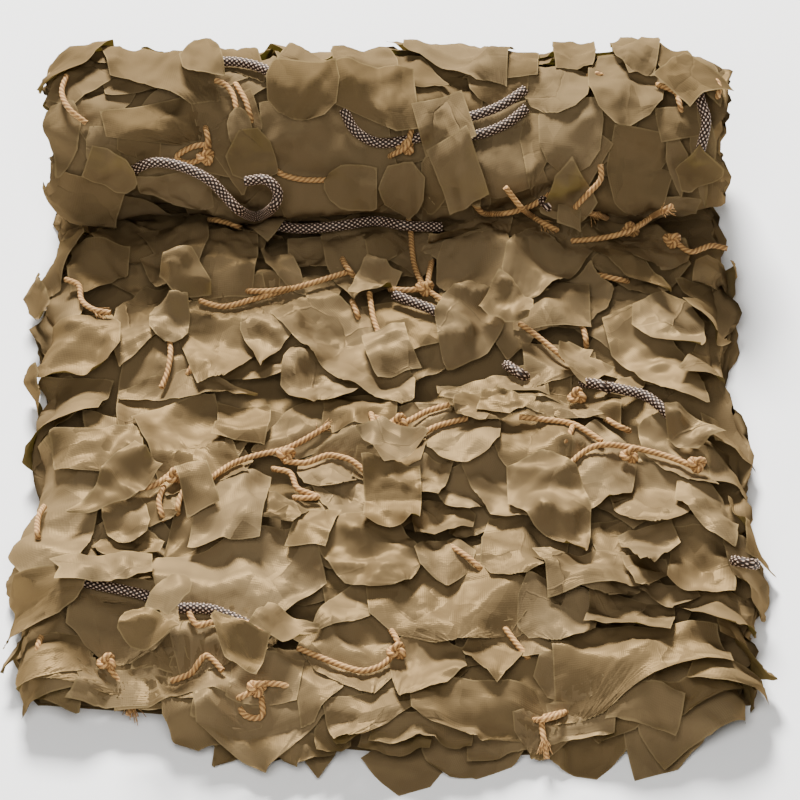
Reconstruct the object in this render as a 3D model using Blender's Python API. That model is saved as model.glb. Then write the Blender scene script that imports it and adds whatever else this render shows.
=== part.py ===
"""Camouflage netting: a strip of folded garnish cloth, part rolled, with its border rope and net twine.

The netting is folded lengthwise into a strip, so its folds lie at the left and right sides. The far
end of the strip is wound up into a roll, towards the front, and the near end lies flat. X runs along
the roll, the flat run reaches towards -Y, and Z is up. Sizes are in metres.
"""

import math
from collections import namedtuple

import bpy
from mathutils import Vector
from mathutils.bvhtree import BVHTree

# The strip, fold to fold, and the layers in it.
STRIP_WIDTH = 0.445
LAYERS = 4
LAYER_THICKNESS = 0.002
FOLD_STEPS = 3
CELLS_ACROSS = 9

# The flat run. Its depth is the height of the strip's stack of layers.
FRONT_Y = -0.2575
ROLL_Y = 0.2210
RUN_DEPTH = 0.038
FRONT_DEPTH = 0.014
NOSE_LENGTH = 0.090
RUN_STEPS = 15
TOP_SWELL = 0.003
BUNCH_HEIGHT = 0.004
BUNCH_LENGTH = 0.105
BUNCH_BEND = 0.06
SWELL_END_LENGTH = 0.05

# The roll. It stands on the surface, and its front dips onto the run.
ROLL_RADIUS = 0.062
ROLL_DEPTH = 0.021
TURN_GAP = 0.004
TURNS = 1.75
STEPS_PER_TURN = 14
ROLL_SWELL = 0.0024
PINCH_START = 0.025
PINCH_END = 0.075

# How far the cut edge of the front reaches, by place across: the leaves there end unevenly.
FrontRow = namedtuple("FrontRow", "across reach")
FRONT_OUTLINE = [
    FrontRow(-0.215, -0.020),
    FrontRow(-0.130, -0.012),
    FrontRow(-0.098, 0.006),
    FrontRow(-0.074, 0.026),
    FrontRow(-0.045, 0.012),
    FrontRow(0.010, 0.018),
    FrontRow(0.090, 0.019),
    FrontRow(0.135, 0.004),
    FrontRow(0.176, 0.008),
    FrontRow(0.215, -0.020),
]
FRONT_RECESS = (0.0, 0.007, 0.004, 0.014)
FRONT_FADE = 0.110

# How far the left and right sides stand out past the folds, by place along the run and round the roll.
SideRow = namedtuple("SideRow", "along left right")
SIDE_OUTLINE = [
    SideRow(-0.260, -0.002, -0.001),
    SideRow(-0.205, 0.006, 0.004),
    SideRow(-0.155, 0.009, 0.012),
    SideRow(-0.115, 0.004, 0.015),
    SideRow(-0.070, 0.000, 0.008),
    SideRow(-0.030, 0.005, 0.012),
    SideRow(0.010, 0.003, 0.003),
    SideRow(0.055, 0.008, 0.002),
    SideRow(0.100, 0.012, 0.009),
    SideRow(0.145, 0.004, 0.006),
    SideRow(0.215, 0.006, 0.003),
    SideRow(0.315, 0.003, 0.000),
    SideRow(0.415, 0.006, 0.003),
    SideRow(0.815, 0.004, 0.001),
]

# Cords: the braided rope along the net's border, and the twine that the net is tied from. They lie on
# the cloth.
ROPE_DIAMETER = 0.0075
TWINE_DIAMETER = 0.004
CORD_CLEARANCE = 0.0005
CROSSING_CLEARANCE = 0.0006
POINTS_PER_DIAMETER = 2.4
LIFT_ROUNDS = 30
PARTS_TESTED = 8
STEEPEST_LIFT = 0.35

# The slanted plan that the cords are drawn on, and the eye point from which each is dropped onto the
# cloth. The plan stands square to the line from its centre to the eye. A route's points are in
# millimetres on the plan.
PLAN_CENTRE = Vector((0.007, -0.010, 0.050))
PLAN_ELEVATION = math.radians(48.0)
EYE_DISTANCE = 2.6

Route = namedtuple("Route", "name diameter points")
ROUTES = [
    Route("rope_top_left", ROPE_DIAMETER, [(-119, 221), (-107, 221), (-93, 218), (-79, 211), (-72, 203)]),
    Route("rope_top_bow", ROPE_DIAMETER, [
        (-37, 190), (-31, 178), (-24, 172), (-14, 168), (0, 169), (14, 172)
    ]),
    Route("rope_top_pair_a", ROPE_DIAMETER, [(37, 183), (52, 187), (67, 193), (82, 203)]),
    Route("rope_top_pair_b", ROPE_DIAMETER, [(41, 172), (56, 175), (70, 181), (83, 191)]),
    Route("rope_top_right", ROPE_DIAMETER, [(194, 205), (197, 194), (200, 184), (199, 174), (195, 158)]),
    Route(
        "rope_hook",
        ROPE_DIAMETER,
        [
            (-180, 147), (-163, 155), (-144, 153), (-125, 144), (-114, 133), (-105, 124),
            (-94, 120), (-83, 126), (-80, 136), (-88, 144), (-101, 143),
        ],
    ),
    Route("rope_crease", ROPE_DIAMETER, [
        (-82, 114), (-64, 112), (-39, 114), (-16, 117), (3, 114), (27, 113)
    ]),
    Route("rope_run_centre", ROPE_DIAMETER, [(-4, 69), (8, 64), (21, 59), (34, 51), (44, 44)]),
    Route("rope_run_right", ROPE_DIAMETER, [(135, 9), (149, 6), (160, 3), (171, -5), (179, -13)]),
    Route("rope_left_a", ROPE_DIAMETER, [(-213, -118), (-192, -122), (-169, -127), (-158, -131)]),
    Route("rope_left_b", ROPE_DIAMETER, [
        (-145, -136), (-133, -136), (-123, -137), (-112, -141), (-99, -147)
    ]),
    Route("twine_roll_left", TWINE_DIAMETER, [(-218, 212), (-221, 201), (-216, 190), (-205, 181)]),
    Route("twine_roll_drop", TWINE_DIAMETER, [
        (-121, 209), (-114, 206), (-109, 199), (-107, 190), (-105, 180)
    ]),
    Route(
        "twine_roll_loop",
        TWINE_DIAMETER,
        [(-127, 178), (-125, 166), (-129, 158), (-140, 155), (-146, 159), (-137, 165), (-128, 167)],
    ),
    Route("twine_roll_centre", TWINE_DIAMETER, [(-87, 155), (-78, 148), (-63, 144), (-41, 144)]),
    Route("twine_roll_tie", TWINE_DIAMETER, [
        (42, 146), (46, 133), (53, 123), (69, 122), (86, 127), (99, 135)
    ]),
    Route("twine_roll_slant", TWINE_DIAMETER, [(69, 139), (80, 125), (93, 116), (103, 111)]),
    Route("twine_roll_tail", TWINE_DIAMETER, [(97, 133), (116, 125), (135, 119)]),
    Route("twine_roll_hang", TWINE_DIAMETER, [(131, 154), (131, 144), (122, 134), (114, 125), (110, 117)]),
    Route("twine_right_tail", TWINE_DIAMETER, [(112, 104), (133, 106), (151, 111), (165, 120), (178, 127)]),
    Route("twine_right_long", TWINE_DIAMETER, [(178, 105), (189, 97), (204, 101), (214, 99)]),
    Route("twine_centre_drop", TWINE_DIAMETER, [(3, 133), (7, 110), (9, 90), (17, 73), (37, 60)]),
    Route("twine_back", TWINE_DIAMETER, [
        (-131, 65), (-116, 61), (-99, 65), (-81, 70), (-59, 76), (-33, 84)
    ]),
    Route("twine_back_left", TWINE_DIAMETER, [(-219, 79), (-210, 75), (-208, 65), (-200, 59), (-189, 57)]),
    Route("twine_left_drop", TWINE_DIAMETER, [(-151, 42), (-150, 30), (-152, 18), (-156, 8)]),
    Route("twine_centre", TWINE_DIAMETER, [(-20, 70), (-17, 52), (-10, 35)]),
    Route("twine_right_back", TWINE_DIAMETER, [(78, 50), (84, 46), (93, 39), (103, 31), (110, 25)]),
    Route("twine_knot_a", TWINE_DIAMETER, [(-17, -11), (-1, -16), (16, -8), (32, -3)]),
    Route("twine_knot_b", TWINE_DIAMETER, [(3, -30), (22, -18), (44, -12)]),
    Route("twine_right", TWINE_DIAMETER, [(78, -11), (96, -13), (114, -16), (132, -27)]),
    Route(
        "twine_long_left",
        TWINE_DIAMETER,
        [(-133, -60), (-123, -51), (-110, -42), (-93, -36), (-75, -32), (-59, -24), (-46, -16)],
    ),
    Route("twine_long_right", TWINE_DIAMETER, [
        (-76, -40), (-61, -41), (-47, -36), (-31, -40), (-22, -48), (-16, -59)
    ]),
    Route("twine_left", TWINE_DIAMETER, [(-180, -59), (-161, -56), (-149, -48), (-141, -49)]),
    Route(
        "twine_right_bow",
        TWINE_DIAMETER,
        [(105, -51), (114, -39), (128, -30), (145, -30), (165, -34), (181, -39), (195, -45)],
    ),
    Route("twine_front_bow", TWINE_DIAMETER, [
        (-67, -162), (-45, -171), (-25, -177), (-10, -172), (0, -162)
    ]),
    Route("twine_front_left", TWINE_DIAMETER, [
        (-138, -139), (-133, -147), (-116, -144), (-100, -146), (-86, -154)
    ]),
    Route("twine_front_low", TWINE_DIAMETER, [(-150, -184), (-137, -179), (-127, -167), (-116, -177)]),
    Route("twine_corner_tail", TWINE_DIAMETER, [(-192, -172), (-182, -187), (-176, -198), (-178, -206)]),
    Route("twine_front_tail", TWINE_DIAMETER, [(108, -204), (93, -209), (94, -222), (96, -234)]),
]

SHARP_ANGLE = math.radians(40.0)

CLOTH_COLOUR = (0.118, 0.089, 0.052, 1.0)
ROPE_COLOUR = (0.060, 0.050, 0.045, 1.0)
TWINE_COLOUR = (0.400, 0.230, 0.115, 1.0)

# One cross-section of the strip: a point on its outer face, the direction into the stack, and the
# stack's depth.
Station = namedtuple("Station", "along y z inward_y inward_z depth turn_angle")


def smoothstep(value):
    """0 below 0, 1 above 1, and a smooth rise in between."""
    share = min(1.0, max(0.0, value))
    return share * share * (3.0 - 2.0 * share)


def looked_up(rows, column, place):
    """The column's value at a place, straight between the rows of a table sorted by its first column."""
    if place <= rows[0][0]:
        return getattr(rows[0], column)
    for low, high in zip(rows, rows[1:]):
        if place <= high[0]:
            share = (place - low[0]) / (high[0] - low[0])
            return getattr(low, column) * (1.0 - share) + getattr(high, column) * share
    return getattr(rows[-1], column)


def run_depth(y):
    """The stack's depth along the flat run: a rounded nose, a full middle, and a pinch under the roll."""
    nose = min(1.0, (y - FRONT_Y) / NOSE_LENGTH)
    depth = FRONT_DEPTH + (RUN_DEPTH - FRONT_DEPTH) * math.sqrt(1.0 - (1.0 - nose) ** 2)
    pinch = smoothstep((ROLL_Y - PINCH_START - y) / (PINCH_END - PINCH_START))
    return ROLL_DEPTH + (depth - ROLL_DEPTH) * pinch


def turn_radius(angle):
    """The strip's outer radius round the roll.

    Each turn steps inwards as it passes over the start of the last.
    """
    turns, part = divmod(angle, 2.0 * math.pi)
    stepped = turns + smoothstep((part - 1.5 * math.pi) / (0.5 * math.pi))
    return ROLL_RADIUS - stepped * (ROLL_DEPTH + TURN_GAP)


def run_top_swell(x, y):
    """How far the top of the run swells up or sinks, in metres: soft waves, and bunches that run across
    it.
    """
    waves = math.sin(14.0 * x + 9.0 * y + 0.6) + 0.7 * math.sin(31.0 * x - 23.0 * y + 2.0)
    bunch_turn = 2.0 * math.pi * (y + BUNCH_BEND * math.sin(9.0 * x + 1.0)) / BUNCH_LENGTH
    swell = TOP_SWELL * waves / 1.7 + BUNCH_HEIGHT * math.sin(bunch_turn)
    nose = smoothstep((y - FRONT_Y) / NOSE_LENGTH)
    return swell * nose * smoothstep((ROLL_Y - PINCH_END - y) / SWELL_END_LENGTH)


def roll_swell(x, angle):
    """How far the roll's surface swells out, in metres: nothing at its foot, and the same on every turn."""
    waves = math.sin(3.0 * angle + 17.0 * x) + 0.6 * math.sin(5.0 * angle - 29.0 * x + 1.0)
    return ROLL_SWELL * waves * 0.5 * (1.0 - math.cos(angle))


def stations():
    """The strip's cross-sections, from the front edge to the end inside the roll."""
    found = []
    for step in range(RUN_STEPS):
        y = FRONT_Y + (ROLL_Y - FRONT_Y) * step / RUN_STEPS
        found.append(Station(y, y, 0.0, 0.0, 1.0, run_depth(y), None))
    for step in range(round(TURNS * STEPS_PER_TURN) + 1):
        angle = 2.0 * math.pi * step / STEPS_PER_TURN
        radius = turn_radius(angle)
        found.append(
            Station(
                ROLL_Y + ROLL_RADIUS * angle,
                ROLL_Y + radius * math.sin(angle),
                ROLL_RADIUS - radius * math.cos(angle),
                -math.sin(angle),
                math.cos(angle),
                ROLL_DEPTH,
                angle,
            )
        )
    return found


def layer_ends(station, layer):
    """Where one layer starts and ends across the strip. Odd layers run back the other way."""
    left = -STRIP_WIDTH / 2.0 - looked_up(SIDE_OUTLINE, "left", station.along)
    right = STRIP_WIDTH / 2.0 + looked_up(SIDE_OUTLINE, "right", station.along)
    return (left, right) if layer % 2 == 0 else (right, left)


def zigzag(station):
    """(across, share of the depth, layer) down the middle of the cloth, back and forth from the lowest
    layer up.
    """
    points = []
    for layer in range(LAYERS):
        start, end = layer_ends(station, layer)
        for cell in range(CELLS_ACROSS + 1):
            points.append((start + (end - start) * cell / CELLS_ACROSS, float(layer), layer))
        if layer < LAYERS - 1:
            side = 1.0 if layer % 2 == 0 else -1.0
            bulge = station.depth / (LAYERS - 1) / 2.0
            for step in range(1, FOLD_STEPS):
                turn = math.pi * step / FOLD_STEPS
                place = layer + 0.5 - 0.5 * math.cos(turn)
                points.append((end + side * bulge * math.sin(turn), place, layer + 0.5))
    return points


def front_shift(x, y, layer):
    """How far a layer's cloth moves towards the front, near its cut front edge."""
    reach = looked_up(FRONT_OUTLINE, "reach", x)
    recess = FRONT_RECESS[int(layer)]
    return (reach - recess) * (1.0 - smoothstep((y - FRONT_Y) / FRONT_FADE))


def cloth_point(station, x, place, layer):
    """A point on the middle of the cloth, at a place counted in layers from the outer face."""
    share = place / (LAYERS - 1)
    half = LAYER_THICKNESS / 2.0
    inset = half + share * (station.depth - LAYER_THICKNESS)
    if station.turn_angle is None:
        lift = share * run_top_swell(x, station.y)
        return Vector((x, station.y - front_shift(x, station.y, layer), inset + lift))
    inset -= roll_swell(x, station.turn_angle)
    return Vector((x, station.y + inset * station.inward_y, station.z + inset * station.inward_z))


def cloth_middle():
    """The grid of points down the middle of the cloth: a row for each station, a column for each zigzag
    point.
    """
    return [[cloth_point(station, *point) for point in zigzag(station)] for station in stations()]


def grid_normal(grid, row, column):
    """The unit normal of a grid of points, from its neighbours."""
    along = grid[min(row + 1, len(grid) - 1)][column] - grid[max(row - 1, 0)][column]
    across = grid[row][min(column + 1, len(grid[0]) - 1)] - grid[row][max(column - 1, 0)]
    return across.cross(along).normalized()


def thick_sheet(grid, thickness):
    """Vertices and triangles of a closed sheet of that thickness about a grid of points."""
    rows, columns = len(grid), len(grid[0])
    faces, sides = [], []
    for side in (0.5, -0.5):
        sides += [
            grid[row][column] + grid_normal(grid, row, column) * thickness * side
            for row in range(rows)
            for column in range(columns)
        ]
    lower = rows * columns

    def corner(row, column):
        return row * columns + column

    for row in range(rows - 1):
        for column in range(columns - 1):
            quad = (
                corner(row, column),
                corner(row, column + 1),
                corner(row + 1, column + 1),
                corner(row + 1, column),
            )
            for first, second, third in ((0, 1, 2), (0, 2, 3)):
                faces.append((quad[first], quad[second], quad[third]))
                faces.append((lower + quad[third], lower + quad[second], lower + quad[first]))
    rim = [corner(0, column) for column in range(columns)]
    rim += [corner(row, columns - 1) for row in range(1, rows)]
    rim += [corner(rows - 1, column) for column in range(columns - 2, -1, -1)]
    rim += [corner(row, 0) for row in range(rows - 2, 0, -1)]
    for first, second in zip(rim, rim[1:] + rim[:1]):
        faces.append((second, first, lower + first))
        faces.append((second, lower + first, lower + second))
    return sides, faces


def material(name, colour, roughness):
    """A Principled material of one colour."""
    made = bpy.data.materials.new(name)
    made.use_nodes = True
    shader = made.node_tree.nodes["Principled BSDF"]
    shader.inputs["Base Color"].default_value = colour
    shader.inputs["Roughness"].default_value = roughness
    return made


def add_mesh(name, points, faces, finish):
    """A mesh object made from points and faces."""
    mesh = bpy.data.meshes.new(name)
    mesh.from_pydata(points, [], faces)
    mesh.materials.append(finish)
    mesh.shade_smooth()
    mesh.set_sharp_from_angle(angle=SHARP_ANGLE)
    made = bpy.data.objects.new(name, mesh)
    bpy.context.scene.collection.objects.link(made)
    return made


def garnish_cloth(finish):
    """The folded and part-rolled cloth, one piece and one solid."""
    points, faces = thick_sheet(cloth_middle(), LAYER_THICKNESS)
    return add_mesh("garnish_cloth", points, faces, finish)


def smooth_curve(points, spacing):
    """Points at about that spacing along a smooth curve through a route's points, on the plan."""
    ends = [2.0 * points[0] - points[1]] + points + [2.0 * points[-1] - points[-2]]
    found = [points[0]]
    for before, start, end, after in zip(ends, ends[1:], ends[2:], ends[3:]):
        pieces = max(1, round((end - start).length / spacing))
        for piece in range(1, pieces + 1):
            share = piece / pieces
            bend = start * 2.0 + (end - before) * share
            bend += (before * 2.0 - start * 5.0 + end * 4.0 - after) * share**2
            bend += (start * 3.0 - before - end * 3.0 + after) * share**3
            found.append(bend / 2.0)
    return found


def dropped(cloth_tree, place):
    """The point of the cloth that a place on the plan falls on, and the way from there to the eye."""
    towards_eye = Vector((0.0, -math.cos(PLAN_ELEVATION), math.sin(PLAN_ELEVATION)))
    up_plan = Vector((0.0, math.sin(PLAN_ELEVATION), math.cos(PLAN_ELEVATION)))
    eye = PLAN_CENTRE + towards_eye * EYE_DISTANCE
    on_plan = PLAN_CENTRE + Vector((place.x, 0.0, 0.0)) + up_plan * place.y
    hit, _, _, _ = cloth_tree.ray_cast(eye, (on_plan - eye).normalized())
    if hit is None:
        raise ValueError(f"the place {place} on the plan misses the cloth")
    return hit, (eye - hit).normalized()


def gap_to_cords(point, laid):
    """The gap from a point to the nearest surface of the cords laid so far."""
    gap = math.inf
    for middle, radius in laid:
        for start, end in zip(middle, middle[1:]):
            span = end - start
            share = min(1.0, max(0.0, (point - start).dot(span) / span.length_squared))
            gap = min(gap, (point - start - span * share).length - radius)
    return gap


def laid_on_cloth(cloth_tree, route, laid):
    """The middle line of a cord that lies on the cloth, and in long low humps over the cords already laid.
    """
    radius = route.diameter / 2.0
    spacing = POINTS_PER_DIAMETER * route.diameter
    places = smooth_curve([Vector(point) / 1000.0 for point in route.points], spacing)
    drops = [dropped(cloth_tree, place) for place in places]
    lifts = [radius + CORD_CLEARANCE] * len(drops)
    middle = [hit + way * lift for (hit, way), lift in zip(drops, lifts)]
    for _ in range(LIFT_ROUNDS):
        wanted = [0.0] * len(middle)
        for index in range(len(middle) - 1):
            for part in range(PARTS_TESTED + 1):
                point = middle[index].lerp(middle[index + 1], part / PARTS_TESTED)
                nearest, _, _, cloth_gap = cloth_tree.find_nearest(point)
                short = radius + CORD_CLEARANCE - cloth_gap
                short = max(short, radius + CROSSING_CLEARANCE - gap_to_cords(point, laid))
                for end in (index, index + 1):
                    wanted[end] = max(wanted[end], short)
        lifts = [lift + want for lift, want in zip(lifts, wanted)]
        for order in (range(1, len(lifts)), range(len(lifts) - 2, -1, -1)):
            for index in order:
                near = index - order.step
                reach = STEEPEST_LIFT * (middle[index] - middle[near]).length
                lifts[index] = max(lifts[index], lifts[near] - reach)
        middle = [hit + way * lift for (hit, way), lift in zip(drops, lifts)]
    return middle


def add_cord(name, middle, diameter, finish):
    """A round tube with flat ends along a cord's middle line."""
    curve = bpy.data.curves.new(name, "CURVE")
    curve.dimensions = "3D"
    curve.bevel_depth = diameter / 2.0
    curve.bevel_resolution = 2
    curve.use_fill_caps = True
    spline = curve.splines.new("POLY")
    spline.points.add(len(middle) - 1)
    for point, place in zip(spline.points, middle):
        point.co = (*place, 1.0)
    curve.materials.append(finish)
    made = bpy.data.objects.new(name, curve)
    bpy.context.scene.collection.objects.link(made)
    return made


def lay_cords(cloth):
    """The border rope's and the net twine's stretches that lie on the outside of the cloth."""
    finishes = {
        ROPE_DIAMETER: material("border_rope", ROPE_COLOUR, 0.35),
        TWINE_DIAMETER: material("net_twine", TWINE_COLOUR, 0.8),
    }
    cloth_tree = BVHTree.FromPolygons(
        [vertex.co for vertex in cloth.data.vertices],
        [tuple(face.vertices) for face in cloth.data.polygons],
    )
    laid = []
    for route in ROUTES:
        middle = laid_on_cloth(cloth_tree, route, laid)
        laid.append((middle, route.diameter / 2.0))
        add_cord(route.name, middle, route.diameter, finishes[route.diameter])


def main():
    """Builds the netting."""
    for old in list(bpy.data.objects):
        bpy.data.objects.remove(old)
    cloth = garnish_cloth(material("garnish_taffeta", CLOTH_COLOUR, 0.5))
    lay_cords(cloth)


main()
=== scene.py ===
"""Camouflage netting: leaf-cut taffeta on a twine net, folded into a strip and part rolled.

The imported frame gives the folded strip. This script lays crumpled plies and some hundreds of cut leaves over
it, each one resting on those below it, and makes the braided rope and the twisted twine.
"""

import logging
import math
from dataclasses import dataclass, field
from enum import Enum
from functools import partial
from typing import Callable, Optional

import bpy
import numpy as np
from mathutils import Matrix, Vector
from mathutils.bvhtree import BVHTree
from mathutils.geometry import delaunay_2d_cdt


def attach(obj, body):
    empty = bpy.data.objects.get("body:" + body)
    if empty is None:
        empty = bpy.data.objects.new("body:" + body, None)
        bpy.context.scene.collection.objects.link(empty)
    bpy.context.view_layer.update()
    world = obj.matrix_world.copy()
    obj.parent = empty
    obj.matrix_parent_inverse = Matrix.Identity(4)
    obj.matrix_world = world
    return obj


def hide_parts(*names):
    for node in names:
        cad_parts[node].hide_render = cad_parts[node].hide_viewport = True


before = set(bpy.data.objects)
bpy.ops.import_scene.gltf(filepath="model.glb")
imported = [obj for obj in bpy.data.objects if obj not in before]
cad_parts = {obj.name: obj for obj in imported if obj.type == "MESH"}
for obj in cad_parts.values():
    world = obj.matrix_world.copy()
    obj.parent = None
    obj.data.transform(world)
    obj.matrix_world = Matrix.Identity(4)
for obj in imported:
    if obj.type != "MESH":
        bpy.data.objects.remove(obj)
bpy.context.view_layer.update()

LOG = logging.getLogger("netting")
Array = np.ndarray

MM = 0.001


# ---- Small helpers ----

def linear(hex_colour: str) -> tuple[float, float, float, float]:
    """Turns an sRGB hex colour to linear.

    Args:
        hex_colour: The colour, such as "8A7355".

    Returns:
        Linear red, green, blue and an alpha of 1.
    """
    parts = [int(hex_colour[place : place + 2], 16) / 255.0 for place in (0, 2, 4)]
    lin = [part / 12.92 if part <= 0.04045 else ((part + 0.055) / 1.055) ** 2.4 for part in parts]
    return (lin[0], lin[1], lin[2], 1.0)


def add_node(
    tree: bpy.types.NodeTree, kind: str, feeds: Optional[dict] = None, **settings: object
) -> bpy.types.Node:
    """Adds a node to a tree, with its settings and links.

    Args:
        tree: The node tree.
        kind: The node's type name, such as "ShaderNodeMix".
        feeds: By the input's name or number, its value, or the socket or node (first output) that feeds it.
        settings: Values of the node's own attributes.

    Returns:
        The node.
    """
    node = tree.nodes.new(kind)
    for key, value in settings.items():
        setattr(node, key, value)
    for key, feed in (feeds or {}).items():
        source = feed.outputs[0] if isinstance(feed, bpy.types.Node) else feed
        if isinstance(source, bpy.types.NodeSocket):
            tree.links.new(source, node.inputs[key])
        else:
            node.inputs[key].default_value = source
    return node


def add_object(name: str, data: bpy.types.ID) -> bpy.types.Object:
    """Adds an object to the scene.

    Args:
        name: The object's name.
        data: Its mesh, curve, camera or light.

    Returns:
        The object.
    """
    made = bpy.data.objects.new(name, data)
    bpy.context.scene.collection.objects.link(made)
    return made


def smoothstep(value: Array) -> Array:
    """0 below 0, 1 above 1, and a smooth rise in between."""
    share = np.clip(value, 0.0, 1.0)
    return share * share * (3.0 - 2.0 * share)


def box_blur(values: Array) -> Array:
    """Averages each value of a grid with its eight neighbours.

    Args:
        values: The grid.

    Returns:
        The averaged grid, of the same size.
    """
    padded = np.pad(values, 1, mode="edge")
    rows = padded[:-2] + padded[1:-1] + padded[2:]
    return (rows[:, :-2] + rows[:, 1:-1] + rows[:, 2:]) / 9.0


# ---- The strip that the leaves lie on ----

@dataclass(frozen=True)
class Strip:
    """The folded strip's sizes, in metres. They match the solid in the frame."""

    width: float = 0.445
    front_y: float = -0.2575
    roll_y: float = 0.2210
    roll_radius: float = 0.062
    run_depth: float = 0.038
    front_depth: float = 0.014
    nose_length: float = 0.090
    roll_depth: float = 0.021
    turn_gap: float = 0.004
    pinch_start: float = 0.025
    pinch_end: float = 0.075

    def depth(self, y: Array) -> Array:
        """The stack's depth along the run.

        Args:
            y: Places along the run.

        Returns:
            The depth at each.
        """
        nose = np.clip((y - self.front_y) / self.nose_length, 0.0, 1.0)
        full = self.front_depth + (self.run_depth - self.front_depth) * np.sqrt(1.0 - (1.0 - nose) ** 2)
        pinch = smoothstep((self.roll_y - self.pinch_start - y) / (self.pinch_end - self.pinch_start))
        return self.roll_depth + (full - self.roll_depth) * pinch


# How far the cut front reaches, and how far the sides stand out, by place. Metres, as in the solid.
FRONT_PLACES = (-0.215, -0.130, -0.098, -0.074, -0.045, 0.010, 0.090, 0.135, 0.176, 0.215)
FRONT_REACHES = (-0.020, -0.012, 0.006, 0.026, 0.012, 0.018, 0.019, 0.004, 0.008, -0.020)
SIDE_PLACES = (-0.260, -0.205, -0.155, -0.115, -0.070, -0.030, 0.010, 0.055, 0.100, 0.145, 0.215)
LEFT_REACHES = (-0.002, 0.006, 0.009, 0.004, 0.000, 0.005, 0.003, 0.008, 0.012, 0.004, 0.006)
RIGHT_REACHES = (-0.001, 0.004, 0.012, 0.015, 0.008, 0.012, 0.003, 0.002, 0.009, 0.006, 0.003)


@dataclass
class RunChart:
    """The outside of the flat run: u across, v along the run, h off the cloth below the leaves. Metres."""

    strip: Strip
    crumple: "Crumple"
    leaf_room: float = 0.010
    least_depth: float = 0.003
    side_round: float = 0.030
    side_length: float = 0.044
    ceiling: Optional["Ceiling"] = None

    def top(self, u: Array, v: Array) -> Array:
        """The height of the cloth below the leaves.

        Args:
            u: Places across.
            v: Places along the run.

        Returns:
            The height at each, above the surface.
        """
        waves = np.sin(14.0 * u + 9.0 * v + 0.6) + 0.7 * np.sin(31.0 * u - 23.0 * v + 2.0)
        bunch = np.sin(2.0 * np.pi * (v + 0.06 * np.sin(9.0 * u + 1.0)) / 0.105)
        nose = smoothstep((v - self.strip.front_y) / self.strip.nose_length)
        far = smoothstep((self.strip.roll_y - self.strip.pinch_end - v) / 0.05)
        swell = (0.003 * waves / 1.7 + 0.004 * bunch) * nose * far
        swell = swell + 0.9 * self.crumple.read(self.crumple.large, u, v) * (0.4 + 0.6 * far)
        fall = 0.35 * np.maximum(self.strip.front_y - v, 0.0)
        return np.maximum(self.strip.depth(v) - self.leaf_room + swell - fall, self.least_depth - fall)

    def half_width(self, u: Array, v: Array) -> Array:
        """Half the run's width at each place, on the side that the place is on.

        Args:
            u: Places across.
            v: Places along the run.

        Returns:
            The half widths in metres.
        """
        left = np.interp(v, SIDE_PLACES, LEFT_REACHES)
        right = np.interp(v, SIDE_PLACES, RIGHT_REACHES)
        return self.strip.width / 2.0 + np.where(u < 0.0, left, right) - 0.004

    def place(self, u: Array, v: Array, h: Array) -> Array:
        """Turns chart places to points.

        Args:
            u: Places across, which run on down the sides and out over the surface below.
            v: Places along the run.
            h: Heights off the cloth below the leaves.

        Returns:
            One point a row.
        """
        if self.ceiling is not None:
            h = self.ceiling.pressed(u, v, h)
        top = self.top(u, v)
        flat = self.half_width(u, v) - self.side_round
        past = np.maximum(np.abs(u) - flat, 0.0)
        turn = np.clip(past / self.side_length, 0.0, 1.0)
        beyond = np.maximum(past - self.side_length, 0.0)
        angle = turn * np.pi / 2.0
        out = np.minimum(np.abs(u), flat) + self.side_round * np.sin(angle) + 0.25 * beyond
        height = top * np.cos(angle)
        x = np.sign(u) * (out + h * np.sin(angle))
        z = np.maximum(height + h * np.maximum(np.cos(angle), 0.35), 0.0005)
        return np.stack([x, v, z], axis=-1)

    def chart(self, points: Array) -> Array:
        """The (u, v, h) of points that lie over the flat top."""
        u, v = points[:, 0], points[:, 1]
        return np.stack([u, v, points[:, 2] - self.top(u, v)], axis=-1)


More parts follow.
